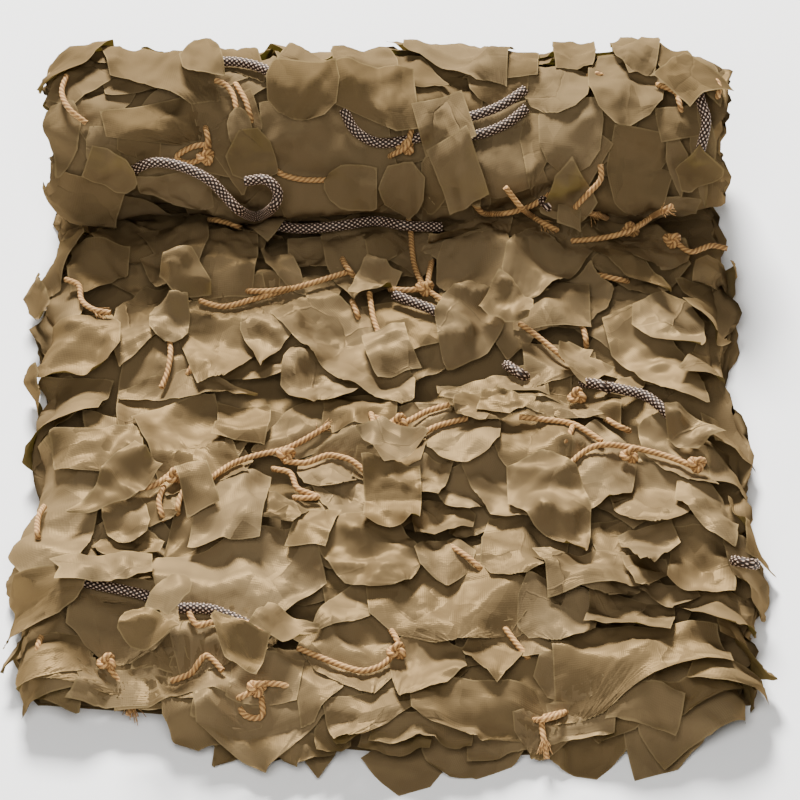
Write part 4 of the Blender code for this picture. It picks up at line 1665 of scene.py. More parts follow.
@dataclass
class FlapSeats:
    """Finds where flaps lie on the charts, and which of them lie over a cord's tucked end."""

    plan: Plan
    tree: BVHTree
    strip: Strip
    rng: np.random.Generator
    parts_tested: int = 14
    holding: float = 0.42
    most_by_flap: float = 0.55
    most_by_end_leaf: float = 0.42
    over_end: float = 0.009
    run_lifts: tuple[float, float] = (0.0025, 0.0085)
    roll_lifts: tuple[float, float] = (0.0010, 0.0045)
    most_standing: float = 0.007
    smoother_on_roll: float = 0.75
    inside_roll: float = 0.030
    before_roll: float = 0.006
    kept_clear: tuple = field(default_factory=lambda: ([], []))
    hidden: tuple = field(default_factory=lambda: ({}, {}))

    def drop(self, place: Array) -> Optional[Vector]:
        """Where a place of the picture falls on the cloth, or None."""
        across, up = on_plan(place)
        return self.plan.dropped(self.tree, across * MM, up * MM)[0]

    def on_roll(self, hit: Vector) -> bool:
        """Whether a point of the cloth is on the roll.

        Args:
            hit: The point.

        Returns:
            True on the roll, and False on the run.
        """
        off_axis = math.hypot(hit.y - self.strip.roll_y, hit.z - self.strip.roll_radius)
        foot = self.strip.roll_y - self.strip.roll_radius - self.before_roll
        return off_axis > self.strip.roll_radius - self.inside_roll and hit.y > foot

    def seat(self, flap: Flap, run: RunChart, roll: RollChart) -> Optional[tuple[bool, Leaf]]:
        """Finds a flap's place. Past the outline of the cloth, the rest of the flap stands up.

        Args:
            flap: The flap.
            run: The run's chart.
            roll: The roll's chart.

        Returns:
            Whether it is on the roll, and the leaf, or None where the whole flap misses the cloth.
        """
        root, tip = np.array(flap.root, dtype=float), np.array(flap.tip, dtype=float)
        shares = np.linspace(0.0, 1.0, self.parts_tested + 1)
        drops = [(share, self.drop(root + (tip - root) * share)) for share in shares]
        hits = [(share, hit) for share, hit in drops if hit is not None]
        if len(hits) < 2:
            return None
        on_roll = self.on_roll(hits[len(hits) // 2][1])
        chart = roll if on_roll else run
        (start, first), (end, last) = hits[0], hits[-1]
        places = chart.chart(np.array([first, last]))[:, :2]
        step = (places[1] - places[0]) / (end - start)
        low, high = places[0] - step * start, places[0] + step * (1.0 - start)
        missed = (1.0 - end) * math.dist(on_plan(flap.tip), on_plan(flap.root)) * MM
        middle = (low + high) / 2.0
        rng = self.rng
        leaf = Leaf(
            u=float(middle[0]), v=float(middle[1]), angle=math.atan2(step[0], -step[1]),
            length=float(np.clip(np.linalg.norm(step), 0.020, 0.150)), width=flap.width * MM,
            shape=flap.shape,
            lift=rng.uniform(
                *(self.roll_lifts if on_roll else self.run_lifts)
            ) + min(missed, self.most_standing),
            curl=rng.uniform(-0.001, 0.0030), bend=rng.uniform(-0.12, 0.12),
            crease=rng.uniform(0.9, 1.35) * (self.smoother_on_roll if on_roll else 1.0)
        )
        return on_roll, leaf

    def covers(self, leaf: Leaf, lines: dict, on_roll: bool, most: float) -> bool:
        """Whether a leaf lies over the tucked end of a cord, and leaves enough of the cord to be seen.

        Args:
            leaf: The leaf.
            lines: The cords' lines on the leaf's chart, by route.
            on_roll: Whether that chart is the roll's.
            most: The largest share of a cord that may be hidden.

        Returns:
            True where the leaf goes over the cord.
        """
        found, so_far = {}, self.hidden[int(on_roll)]
        for line in self.kept_clear[int(on_roll)]:
            if leaf_holds(leaf, line, self.holding).any():
                return False
        for route in ROUTES:
            line = lines.get(route.name)
            if line is None:
                continue
            inside = leaf_holds(leaf, line, self.holding)
            if not inside.any():
                continue
            tucked = inside[0] or (inside[-1] and route.end is not End.BARE)
            hidden = inside | so_far.get(route.name, np.zeros(len(line), dtype=bool))
            if not tucked or hidden.mean() > most:
                return False
            found[route.name] = hidden
        so_far.update(found)
        return bool(found)

    def end_leaves(self, lines: dict, on_roll: bool) -> list:
        """Small leaves over the tucked ends that no flap covers.

        Args:
            lines: The cords' lines on one chart, by route.
            on_roll: Whether that chart is the roll's.

        Returns:
            The leaves. Each has its tip just over a cord's end.
        """
        found = []
        for route in ROUTES:
            line = lines.get(route.name)
            if line is None or len(line) < 3:
                continue
            ends = [(line[0], line[2], 0)] + ([] if route.end is End.BARE else [(line[-1], line[-3], -1)])
            for end, before, index in ends:
                if self.hidden[int(on_roll)].get(route.name, np.zeros(len(line), dtype=bool))[index]:
                    continue
                leaf = self.end_leaf(end, before, lines, on_roll)
                if leaf is None:
                    LOG.warning("%s: an end lies in sight", route.name)
                else:
                    found.append(leaf)
        return found

    def end_leaf(self, end: Array, before: Array, lines: dict, on_roll: bool) -> Optional[Leaf]:
        """The first leaf over an end that hides nothing more of the cords.

        Args:
            end: The cord's end on the chart.
            before: A place a little way along the cord from it.
            lines: The cords' lines on the chart, by route.
            on_roll: Whether that chart is the roll's.

        Returns:
            The leaf, or None where every one tried hides too much.
        """
        outward = math.atan2(end[1] - before[1], end[0] - before[0])
        rng = self.rng
        shapes = list(LeafShape)
        for length in (0.036, 0.030, 0.024):
            for swing in (0.0, 0.5, -0.5, 1.0, -1.0, 1.5, -1.5):
                way = outward + swing
                reach = length / 2.0 - self.over_end
                leaf = Leaf(
                    u=float(end[0] + math.cos(way) * reach), v=float(end[1] + math.sin(way) * reach),
                    angle=math.atan2(-math.cos(way), math.sin(way)), length=length,
                    width=length * rng.uniform(0.7, 0.95), shape=shapes[int(rng.integers(len(shapes)))],
                    lift=rng.uniform(0.0002, 0.0015), curl=rng.uniform(-0.001, 0.0015),
                    bend=rng.uniform(-0.2, 0.2), crease=rng.uniform(0.9, 1.3)
                )
                if self.covers(leaf, lines, on_roll, self.most_by_end_leaf):
                    return leaf
        return None


# ---- The folded plies below the leaves ----

@dataclass
class FoldedPlies:
    """The net's cloth, folded back and forth into the strip and wound into the roll. Metres."""

    strip: Strip
    run: RunChart
    roll: RollChart
    crumple: Crumple
    layers: int = 6
    turns: float = 1.75
    fold_steps: int = 5
    half_cells: int = 18
    run_rows: int = 64
    rows_per_turn: int = 56
    sunk: float = 0.008
    roll_sunk: float = 0.0015
    side_inset: float = 0.006
    turn_step: float = 0.018
    wound_depth: float = 0.013
    least_height: float = 0.0006
    front_recess: tuple[float, ...] = (0.014, 0.022, 0.016, 0.026, 0.018, 0.028)

    def build(self, finish: bpy.types.Material) -> tuple[bpy.types.Object, float, float]:
        """Makes the plies.

        Args:
            finish: The cloth's material.

        Returns:
            The mesh object, and the width and the length that the cloth had before it was folded.
        """
        across, layer = self.zigzag()
        rows = self.rows()
        parts = MeshParts()
        points = np.stack([self.row_points(row, across, layer) for row in rows])
        steps = np.linalg.norm(np.diff(points, axis=1), axis=-1)
        widths = np.concatenate([np.zeros((len(points), 1)), np.cumsum(steps, axis=1)], axis=1)
        lengths = np.linalg.norm(np.diff(points, axis=0), axis=-1).sum(axis=0)
        a = np.broadcast_to(widths.mean(axis=0)[None, :], widths.shape)
        b = np.broadcast_to(np.array([row[2] for row in rows])[:, None], widths.shape)
        # The distance from the front row, which the cloth's painted edge highlight follows.
        rim = np.broadcast_to(np.minimum((b - b.min()) / MM, 50.0), widths.shape)
        parts.add_grid(points, rim, 0.35, np.stack([a, b], axis=-1))
        made = parts.build("folded_plies", finish)
        return made, float(widths[:, -1].mean()), float(lengths.mean())

    def zigzag(self) -> tuple[Array, Array]:
        """Places across (-1 to 1) and layers (0 is outermost) along the folded cloth.

        Returns:
            The places and the layers, in the cloth's order.
        """
        half = 1.0 - (1.0 - np.linspace(0.0, 1.0, self.half_cells + 1)) ** 1.7
        line = np.concatenate([-half[::-1], half[1:]])
        across, layer = [], []
        for number in range(self.layers):
            way = 1.0 if number % 2 == 0 else -1.0
            across.append(line * way)
            layer.append(np.full(len(line), float(number)))
            if number < self.layers - 1:
                turn = np.pi * np.arange(1, self.fold_steps) / self.fold_steps
                across.append(way * (1.0 + 0.02 * np.sin(turn)))
                layer.append(number + 0.5 - 0.5 * np.cos(turn))
        return np.concatenate(across), np.concatenate(layer)

    def rows(self) -> list:
        """The rows along the cloth: (place on the run or None, angle on the roll or None, place along).

        Returns:
            The rows, from the front to the roll's inner end.
        """
        found = []
        for y in np.linspace(self.strip.front_y, self.strip.roll_y, self.run_rows):
            found.append((y, None, y))
        count = round(self.turns * self.rows_per_turn)
        for step in range(1, count + 1):
            angle = 2.0 * np.pi * step / self.rows_per_turn
            found.append((None, angle, self.strip.roll_y + self.strip.roll_radius * angle))
        return found

    def row_points(self, row: tuple, across: Array, layer: Array) -> Array:
        """The points of one row.

        Args:
            row: One of the rows.
            across: The zigzag's places across.
            layer: The zigzag's layers.

        Returns:
            One point for each place of the zigzag.
        """
        y, angle, along = row
        share = layer / (self.layers - 1)
        left = self.strip.width / 2.0 + np.interp(along, SIDE_PLACES, LEFT_REACHES) - self.side_inset
        right = self.strip.width / 2.0 + np.interp(along, SIDE_PLACES, RIGHT_REACHES) - self.side_inset
        reach = np.where(across < 0.0, left, right)
        edge = np.abs(across) ** 3
        wander = self.crumple.read(
            self.crumple.large, np.full(len(layer), along) + 0.11 * np.round(layer), layer * 0.037
        )
        x = across * reach + np.sign(across) * edge * 2.6 * wander
        bump_a, bump_b = x + 0.05 * np.round(layer), np.full(len(x), along) + 0.07 * np.round(layer)
        bump = self.crumple.read(
            self.crumple.large, bump_a, bump_b
        ) + 0.8 * self.crumple.read(self.crumple.fine, bump_a, bump_b)
        if angle is None:
            top = self.run.top(x, np.full(len(x), y))
            front = np.interp(x, FRONT_PLACES, FRONT_REACHES) - np.array(self.front_recess)[
                np.clip(np.round(layer).astype(int), 0, self.layers - 1)
            ]
            shift = front * (1.0 - smoothstep((y - self.strip.front_y) / 0.110))
            z = 0.0008 + share * (top - self.sunk) + bump * np.minimum(1.0, share * 3.0)
            return np.stack([x, y - shift, np.maximum(z, self.least_height)], axis=-1)
        outer = self.roll.radius(x, np.full(len(x), (angle % (2.0 * np.pi)) * self.strip.roll_radius))
        whole = math.floor(angle / (2.0 * np.pi) + 1e-9)
        radius = outer - self.roll_sunk - whole * self.turn_step - share * self.wound_depth + 0.7 * bump
        height = self.strip.roll_radius - radius * np.cos(angle)
        y = self.strip.roll_y + radius * np.sin(angle)
        return np.stack([x, y, np.maximum(height, self.least_height)], axis=-1)


# ---- The leaves as pieces ----

@dataclass
class Garnish:
    """All the leaf-cut cloth on the strip."""

    plan: Plan
    tree: BVHTree
    strip: Strip
    crumple: Crumple
    seed: int = 21
    behind_edge: float = 0.020
    tries: int = 14
    lower_on_roll: float = 0.5
    smoother_on_roll: float = 0.72
    before_axis: float = 0.045
    highest_on_run: float = 0.075
    over_roll: float = 0.014
    stuffed_below: float = 0.0045
    run_rows: tuple[float, float, float] = (-0.262, 0.165, 0.0385)
    run_columns: tuple[float, float, float] = (-0.215, 0.216, 0.054)
    roll_columns: tuple[float, float, float] = (-0.205, 0.206, 0.050)
    roll_row_step: float = 0.036
    astray_across: float = 0.012
    astray_along: float = 0.010
    keeping_off: float = 0.46
    run: RunChart = field(init=False)
    roll: RollChart = field(init=False)

    def __post_init__(self) -> None:
        """Sets up the charts and the piles."""
        self.rng = np.random.default_rng(self.seed)
        run_low, run_high = (-0.30, -0.31), (0.30, 0.20)
        roll_low, roll_high = (-0.28, -0.01), (0.28, 0.40)
        self.run_ceiling, self.roll_ceiling = Ceiling(run_low, run_high), Ceiling(roll_low, roll_high)
        self.run = RunChart(self.strip, self.crumple, ceiling=self.run_ceiling)
        self.roll = RollChart(self.strip, self.crumple, ceiling=self.roll_ceiling)
        self.run_pile, self.roll_pile = Pile(run_low, run_high), Pile(roll_low, roll_high)
        self.gaps = self.find_gaps()

    def lines_on(self, middle: Array) -> list:
        """The cord's line on each chart that it lies over.

        Args:
            middle: The cord's middle line.

        Returns:
            (ceiling, pile, line) for each chart, where the line is rows of (u, v, h).
        """
        found = []
        off_axis = np.hypot(middle[:, 1] - self.strip.roll_y, middle[:, 2] - self.strip.roll_radius)
        on_run = (middle[:, 1] < self.strip.roll_y - self.before_axis) & (middle[:, 2] < self.highest_on_run)
        on_roll = off_axis < self.strip.roll_radius + self.over_roll
        for mask, chart, ceiling, pile in (
            (on_run, self.run, self.run_ceiling, self.run_pile),
            (on_roll, self.roll, self.roll_ceiling, self.roll_pile),
        ):
            if mask.sum() > 1:
                found.append((ceiling, pile, chart.chart(middle[mask])))
        return found

    def make_room(self, middles: list, radii: list) -> None:
        """Presses the cloth down under the cords, and stuffs it up to them from below.

        Args:
            middles: The cords' middle lines.
            radii: Their radii.
        """
        offsets = (-0.005, 0.0, 0.005)
        for middle, radius in zip(middles, radii):
            for ceiling, pile, line in self.lines_on(np.array(middle)):
                ceiling.press(line, radius)
                step = line[1:] - line[:-1]
                dense = np.concatenate([line[:-1] + step * share for share in (0.0, 0.35, 0.7)])
                under = dense[:, 2] - radius - self.stuffed_below
                for offset_u in offsets:
                    for offset_v in offsets:
                        pile.rise(dense[:, 0] + offset_u, dense[:, 1] + offset_v, under)

    def cover_cords(self, middles: list, radii: list) -> None:
        """Raises the piles to the tops of the cords, for the leaves that lie over their ends.

        Args:
            middles: The cords' middle lines.
            radii: Their radii.
        """
        for middle, radius in zip(middles, radii):
            for _, pile, line in self.lines_on(np.array(middle)):
                for offset in (-0.5, 0.0, 0.5):
                    for share in (0.0, 0.25, 0.5, 0.75):
                        dense = line[:-1] + (line[1:] - line[:-1]) * share
                        pile.rise(dense[:, 0] + offset * radius, dense[:, 1], dense[:, 2] + radius * 1.05)
                        pile.rise(dense[:, 0], dense[:, 1] + offset * radius, dense[:, 2] + radius * 1.05)

    def random_leaf(self, u: float, v: float, towards: float, spread: float) -> Leaf:
        """A leaf of random size and shape.

        Args:
            u: Its middle across.
            v: Its middle along.
            towards: The angle of its tip.
            spread: How far the angle may turn either way.

        Returns:
            The leaf.
        """
        rng = self.rng
        shapes = list(LeafShape)
        return Leaf(
            u=u, v=v, angle=towards + rng.uniform(-spread, spread), length=rng.uniform(0.056, 0.086),
            width=rng.uniform(0.044, 0.070), shape=shapes[int(rng.integers(len(shapes)))],
            lift=rng.uniform(0.0010, 0.0065), curl=rng.uniform(-0.001, 0.0030),
            bend=rng.uniform(-0.35, 0.35), crease=rng.uniform(0.8, 1.35)
        )

    def lay_clear(self, layer: LeafLayer, u: float, v: float, towards: float, spread: float) -> None:
        """Lays a random leaf that leaves the dark gaps open, or none where every try covers one.

        Args:
            layer: The layer that takes it.
            u: Its middle across.
            v: Its middle along.
            towards: The angle of its tip.
            spread: How far the angle may turn either way.
        """
        gaps = self.gaps[int(layer.pile is self.roll_pile)]
        for _ in range(self.tries):
            leaf = self.random_leaf(u, v, towards, spread)
            if layer.pile is self.roll_pile:
                leaf.lift *= self.lower_on_roll
                leaf.crease *= self.smoother_on_roll
            if not any(leaf_holds(leaf, gap, self.keeping_off).any() for gap in gaps):
                layer.lay(leaf)
                return

    def find_gaps(self) -> tuple[list, list]:
        """The dark gaps' middle lines on the run's chart and on the roll's.

        Returns:
            The run's lines and the roll's.
        """
        seats = FlapSeats(self.plan, self.tree, self.strip, self.rng)
        found = ([], [])
        for gap in GAPS:
            start, end = np.array(gap.start), np.array(gap.end)
            drops = [seats.drop(start + (end - start) * share) for share in np.linspace(0.0, 1.0, 5)]
            hits = [hit for hit in drops if hit is not None]
            if len(hits) > 1:
                on_roll = seats.on_roll(hits[len(hits) // 2])
                found[int(on_roll)].append((self.roll if on_roll else self.run).chart(np.array(hits)))
        return found

    def astray(self, u: float, v: float) -> tuple[float, float]:
        """A place a little way off another."""
        moved = u + self.rng.uniform(-self.astray_across, self.astray_across)
        return moved, v + self.rng.uniform(-self.astray_along, self.astray_along)

    def scatter_run(self, layer: LeafLayer) -> None:
        """Lays leaves over the run, front first, so that each lies on the one before it.

        Args:
            layer: The layer that takes them.
        """
        rng = self.rng
        for v in np.arange(*self.run_rows):
            places = np.arange(*self.run_columns)
            for u in rng.permutation(places + rng.uniform(-self.astray_across, self.astray_across)):
                at_u, at_v = self.astray(u, v)
                edge = self.strip.front_y - float(np.interp(at_u, FRONT_PLACES, FRONT_REACHES))
                at_v = max(at_v, edge + self.behind_edge)
                towards = math.radians(50.0) * np.clip(u / 0.23, -1.0, 1.0) ** 3
                self.lay_clear(layer, at_u, at_v, towards, math.radians(100.0))

    def scatter_roll(self, layer: LeafLayer) -> None:
        """Lays leaves over the roll, from its front foot up over the top and down the back.

        Args:
            layer: The layer that takes them.
        """
        rng = self.rng
        last = 1.9 * np.pi * self.strip.roll_radius
        for v in np.arange(last - 0.01, 0.015, -self.roll_row_step):
            places = np.arange(*self.roll_columns)
            for u in rng.permutation(places + rng.uniform(-self.astray_across, self.astray_across)):
                at_u, at_v = self.astray(u, v)
                self.lay_clear(layer, at_u, at_v, math.pi, math.radians(95.0))

    def build(self, cords: "Cords", finish: bpy.types.Material) -> None:
        """Args:
            cords: The cords that lie on it.
            finish: The cloth's material.
        """
        middles = list(cords.middles.values())
        radii = [route.diameter / 2.0 for route in ROUTES]
        self.make_room(middles, radii)
        self.make_room([middle[1:-1] for middle in cords.twine_bits], [TWINE / 2.0] * len(cords.twine_bits))
        self.make_room(cords.rope_bits, [ROPE / 2.0] * len(cords.rope_bits))
        knots = [
            [
                place - Vector((0.002, 0.0, 0.0)), place + Vector((0.002, 0.0, 0.0))
            ] for place in cords.knots
        ]
        self.make_room(knots, [cords.knot_size + TWINE / 2.0] * len(knots))
        plies = FoldedPlies(
            self.strip, RunChart(self.strip, self.crumple), RollChart(self.strip, self.crumple),
            self.crumple
        )
        piece, width, length = plies.build(finish)
        self.declare(piece, width, length)
        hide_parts("garnish_cloth")
        self.lay_under(finish)
        self.lay_flaps(cords, middles, radii, finish)

    def lay_under(self, finish: bpy.types.Material) -> None:
        """Lays the leaves that show between and behind the flaps.

        Args:
            finish: The cloth's material.
        """
        run_layer = LeafLayer(self.run, self.run_pile, self.crumple, self.rng)
        self.scatter_run(run_layer)
        self.finish_layer(run_layer, "run_leaves", finish)
        roll_layer = LeafLayer(self.roll, self.roll_pile, self.crumple, self.rng)
        self.scatter_roll(roll_layer)
        self.finish_layer(roll_layer, "roll_leaves", finish)

    def lay_flaps(self, cords: "Cords", middles: list, radii: list, finish: bpy.types.Material) -> None:
        """Lays the flaps that are placed one by one, and last those that lie over the cords' tucked ends.

        Args:
            cords: The cords.
            middles: Their middle lines.
            radii: Their radii.
            finish: The cloth's material.
        """
        seats = FlapSeats(self.plan, self.tree, self.strip, self.rng)
        lines = ({}, {})
        for middle in cords.twine_bits + cords.rope_bits + [[place, place] for place in cords.knots]:
            for _, pile, line in self.lines_on(np.array(middle)):
                seats.kept_clear[int(pile is self.roll_pile)].append(line)
        for name, middle in cords.middles.items():
            for _, pile, line in self.lines_on(np.array(middle)):
                lines[int(pile is self.roll_pile)][name] = line
        found = [seats.seat(flap, self.run, self.roll) for flap in FLAPS]
        LOG.info("flaps: %d placed, %d off the cloth", len(found), found.count(None))
        placed = []
        for on_roll, leaf in filter(None, found):
            over = seats.covers(leaf, lines[int(on_roll)], on_roll, seats.most_by_flap)
            placed.append((on_roll, leaf, over))
        for on_roll in (False, True):
            placed += [(on_roll, leaf, True) for leaf in seats.end_leaves(lines[int(on_roll)], on_roll)]
        LOG.info("flaps over cord ends: %d", sum(over for _, _, over in placed))
        free = (RunChart(self.strip, self.crumple), RollChart(self.strip, self.crumple))
        for over, charts, label in ((False, (self.run, self.roll), "flaps"), (True, free, "cover")):
            if over:
                self.cover_cords(middles, radii)
            for on_roll, pile, part in ((False, self.run_pile, "run"), (True, self.roll_pile, "roll")):
                layer = LeafLayer(charts[int(on_roll)], pile, self.crumple, self.rng)
                for _, leaf, _ in (entry for entry in placed if entry[0] == on_roll and entry[2] == over):
                    layer.lay(leaf)
                self.finish_layer(layer, f"{part}_{label}", finish)

    def finish_layer(self, layer: LeafLayer, name: str, finish: bpy.types.Material) -> None:
        """Args:
            layer: The layer.
            name: The piece's name.
            finish: The cloth's material.
        """
        piece = layer.parts.build(name, finish)
        area = layer.area
        side = math.sqrt(area / 0.8)
        self.declare(piece, side, side)

    def declare(
        self, piece: bpy.types.Object, width: float, length: float
    ) -> None:
        """Attaches a piece of cloth to the root, and reports it.

        Args:
            piece: The piece.
            width: Its width before it was laid.
            length: Its length.
        """
        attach(piece, "root")
        LOG.info("%s: %d faces, %.2f x %.2f m flat", piece.name, len(piece.data.polygons), width, length)


# ---- The studio ----

@dataclass
class Studio:
    """The floor, the lights and the camera."""

    plan: Plan
    floor_size: float = 12.0

    def build(self) -> None:
        """Sets up the studio."""
        self.camera()
        self.floor()
        self.area("key_light", place=(-0.6, 3.2, 3.1), size=1.2, power=790.0)
        self.area("fill_light", place=(-0.10, -0.85, 1.20), size=0.7, power=18.0)
        self.world()

    def camera(self) -> None:
        """Sets up the camera at the eye point."""
        data = bpy.data.cameras.new("camera")
        data.lens = LENS
        data.sensor_width = SENSOR
        data.clip_end = 100.0
        made = add_object("camera", data)
        made.location = self.plan.eye()
        made.rotation_euler = (math.pi / 2.0 - self.plan.elevation, 0.0, 0.0)
        bpy.context.scene.camera = made

    def floor(self) -> None:
        """Lays the floor."""
        half = self.floor_size / 2.0
        mesh = bpy.data.meshes.new("floor")
        mesh.from_pydata(
            [(-half, -half, 0.0), (half, -half, 0.0), (half, half, 0.0), (-half, half, 0.0)], [],
            [(0, 1, 2, 3)]
        )
        mesh.materials.append(PaleFloor().make())
        made = add_object("floor", mesh)

    def area(self, name: str, place: tuple, size: float, power: float) -> None:
        """Adds a soft square light that faces the netting.

        Args:
            name: The light's name.
            place: Where it stands, in metres.
            size: Its side, in metres.
            power: Its power in watts.
        """
        data = bpy.data.lights.new(name, "AREA")
        data.energy = power
        data.size = size
        made = add_object(name, data)
        made.location = place
        way = self.plan.centre - Vector(place)
        made.rotation_euler = way.to_track_quat("-Z", "Y").to_euler()

    def world(self) -> None:
        """Lights everything softly from all round."""
        made = bpy.data.worlds.new("studio_sky")
        made.use_nodes = True
        back = made.node_tree.nodes["Background"]
        back.inputs["Color"].default_value = linear("F7F6F3")
        back.inputs["Strength"].default_value = 0.16
        bpy.context.scene.world = made


# ---- The cords as pieces ----

# Short stretches that show between flaps, in the camera's picture (pixels). Both ends go into the cloth.
TWINE_BITS = (
    ((97, 49), (116, 44), (135, 48)), ((234, 81), (246, 102), (252, 125)),
    ((403, 47), (425, 43), (450, 43), (486, 46)), ((413, 122), (406, 147), (388, 157)),
    ((589, 75), (597, 74), (604, 76)), ((658, 84), (675, 92), (682, 113)),
    ((713, 76), (719, 86), (718, 98)), ((432, 260), (429, 275), (427, 289)),
    ((390, 289), (406, 290), (421, 289)), ((245, 291), (268, 291), (291, 288)),
    ((341, 256), (346, 266), (353, 275)), ((352, 301), (356, 311), (359, 320)),
    ((582, 324), (585, 335), (587, 346)), ((597, 274), (612, 278), (628, 281)),
    ((209, 219), (225, 222), (240, 227)), ((196, 353), (192, 366), (185, 379)),
    ((371, 414), (377, 426), (396, 422)), ((573, 426), (568, 438), (560, 448)),
    ((606, 419), (618, 426), (630, 431)), ((273, 469), (290, 473), (297, 488), (318, 497), (294, 498)),
    ((163, 487), (159, 502), (163, 520)), ((190, 480), (180, 498), (177, 514)),
    ((43, 507), (38, 519), (37, 538)), ((449, 545), (466, 556), (483, 571)),
    ((759, 476), (764, 488), (761, 508)), ((502, 624), (516, 643), (530, 660)),
    ((390, 629), (396, 638), (400, 648)), ((40, 638), (38, 650), (46, 661)),
    ((237, 703), (246, 716), (262, 716), (261, 695)), ((236, 700), (245, 695), (256, 690)),
    ((262, 684), (278, 684), (296, 689)), ((464, 686), (465, 694), (466, 702)),
    ((535, 721), (550, 718), (566, 713)), ((205, 127), (208, 140), (204, 152))
)
ROPE_BITS = (
    ((543, 200), (549, 207), (555, 214)), ((507, 365), (516, 371), (526, 377)),
    ((584, 383), (597, 384), (610, 389)), ((735, 561), (746, 563), (757, 565))
)
KNOTS = (
    (206, 157), (406, 147), (630, 230), (672, 240), (425, 288), (577, 396), (399, 422), (630, 455),
    (697, 464), (286, 455), (175, 476), (107, 662), (257, 688), (397, 651)
)


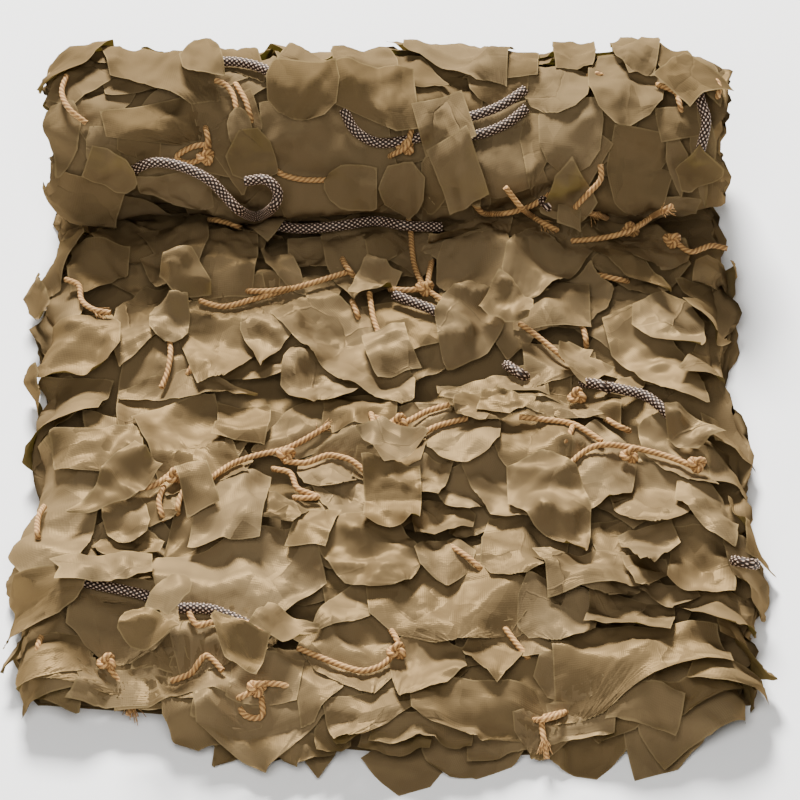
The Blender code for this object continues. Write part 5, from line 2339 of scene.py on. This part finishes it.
@dataclass
class Cords:
    """The border rope's and the net twine's stretches that lie on the outside."""

    plan: Plan
    lines: CordLines
    rope: CordMaker
    twine: CordMaker
    fibre: CordMaker
    seed: int = 5
    knot_size: float = 0.0037
    end_dip: float = 0.0075
    spacing: float = 0.0025
    fibres: int = 15
    knot_squeeze: tuple[float, float, float] = (2.2, 2.6, 0.62)
    middles: dict = field(default_factory=dict)
    twine_bits: list = field(default_factory=list)
    rope_bits: list = field(default_factory=list)
    knots: list = field(default_factory=list)

    def lay(self) -> None:
        """Finds every stretch's middle line, and the places of the short stretches and the knots."""
        for route in ROUTES:
            self.middles[route.name] = self.lines.lay(route.points, route.diameter)
        kinds = ((self.rope_bits, ROPE_BITS, ROPE), (self.twine_bits, TWINE_BITS, TWINE))
        for found, routes, diameter in kinds:
            for route in routes:
                middle = self.lines.lay(tuple(on_plan(place) for place in route), diameter)
                if middle is not None:
                    found.append(middle)
        for place in KNOTS:
            across, up = on_plan(place)
            hit, way = self.plan.dropped(self.lines.cloth, across * MM, up * MM)
            if hit is not None:
                self.knots.append(hit + way * (self.knot_size + TWINE / 2.0))

    def dipped(self, middle: list) -> list:
        """A short stretch's line with both ends let down into the cloth.

        Args:
            middle: The stretch's points.

        Returns:
            The line's points.
        """
        line = smooth_curve(middle, self.spacing)
        last = len(line) - 1
        steps = (min(index, last - index) for index in range(len(line)))
        downs = (self.end_dip * max(0.0, 1.0 - step / 2.5) ** 2 for step in steps)
        return [point - self.plan.towards_eye() * down for point, down in zip(line, downs)]

    def knot_line(self, place: Vector, turn: float) -> list:
        """A closed knot of twine.

        Args:
            place: Its middle.
            turn: How far it is turned about the way to the eye, in radians.

        Returns:
            Points round a trefoil.
        """
        way = self.plan.towards_eye()
        side = Vector((1.0, 0.0, 0.0))
        up = way.cross(side)
        found = []
        for angle in np.linspace(0.0, 2.0 * np.pi, 41):
            a = math.sin(angle) + 2.0 * math.sin(2.0 * angle)
            b = math.cos(angle) - 2.0 * math.cos(2.0 * angle)
            across = (a * math.cos(turn) - b * math.sin(turn)) / self.knot_squeeze[0]
            along = (a * math.sin(turn) + b * math.cos(turn)) / self.knot_squeeze[1]
            out = -math.sin(3.0 * angle) * self.knot_squeeze[2]
            found.append(place + (side * across + up * along + way * out) * self.knot_size)
        return found

    def fray_lines(self, line: list, rng: np.random.Generator) -> list:
        """The fibres that spread from a cut end of twine.

        Args:
            line: The twine's middle line.
            rng: The random source.

        Returns:
            One line of points for each fibre.
        """
        ahead = (line[-1] - line[-3]).normalized()
        found = []
        for _ in range(self.fibres):
            spread = Vector(rng.normal(0.0, 0.34, 3))
            length = rng.uniform(0.006, 0.012)
            start = line[-2] + spread * 0.002
            bend = Vector((0.0, 0.0, -rng.uniform(0.05, 0.45)))
            way = (ahead + spread).normalized()
            found.append(
                [start + (way * share + bend * share**2) * length for share in np.linspace(0.0, 1.0, 6)]
            )
        return found

    def build_bits(self) -> None:
        """Makes the short stretches, the knots and the frayed ends."""
        rng = np.random.default_rng(self.seed)
        frays = []
        for route in ROUTES:
            if route.end is End.BARE:
                frays += self.fray_lines(self.middles[route.name], rng)
        knots = [self.knot_line(place, rng.uniform(0.0, 6.28)) for place in self.knots]
        for maker, lines, name, slot in (
            (self.rope, [self.dipped(middle) for middle in self.rope_bits], "rope_bits", "border_rope"),
            (self.twine, [self.dipped(middle) for middle in self.twine_bits], "twine_bits", "net_twine"),
            (self.twine, knots, "twine_knots", "net_twine"),
            (self.fibre, frays, "frayed_ends", "net_twine"),
        ):
            piece = maker.make(lines, name)
            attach(piece, "root")
            LOG.info("%s: %d of them, %d faces", name, len(lines), len(piece.data.polygons))

    def build(self) -> None:
        """Makes every stretch, and hides the frame's part of the same name."""
        for route in ROUTES:
            line = smooth_curve(self.middles[route.name], self.spacing)
            maker = self.rope if route.diameter == ROPE else self.twine
            piece = maker.make([line], f"{route.name}_cord")
            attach(piece, "root")
            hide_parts(route.name)


def main() -> None:
    """Builds the netting, piece by piece."""
    logging.basicConfig(level=logging.INFO, format="%(name)s: %(message)s")
    plan = Plan()
    Studio(plan).build()
    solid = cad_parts["garnish_cloth"].data
    tree = BVHTree.FromPolygons(
        [vertex.co for vertex in solid.vertices], [tuple(face.vertices) for face in solid.polygons]
    )
    rope = CordMaker(
        Strands.BRAIDED, ROPE_DRAWN * ROPE, BraidedFilament().make(), count=7, advance=0.0040,
        groove=0.0007, step=0.0005, facets=35
    )
    twine = CordMaker(
        Strands.TWISTED, TWINE, SpunTwine().make(), count=3, advance=0.0034, groove=0.0004, step=0.0007,
        facets=16
    )
    fibre = CordMaker(
        Strands.TWISTED, FIBRE, SpunTwine().make(), count=1, advance=0.0030, groove=0.0, step=0.0015,
        facets=4
    )
    cords = Cords(plan, CordLines(tree, plan), rope, twine, fibre)
    cords.lay()
    cords.build()
    cords.build_bits()
    Garnish(plan, tree, Strip(), Crumple()).build(cords, GarnishTaffeta().make())


if __name__ == "__main__":
    main()
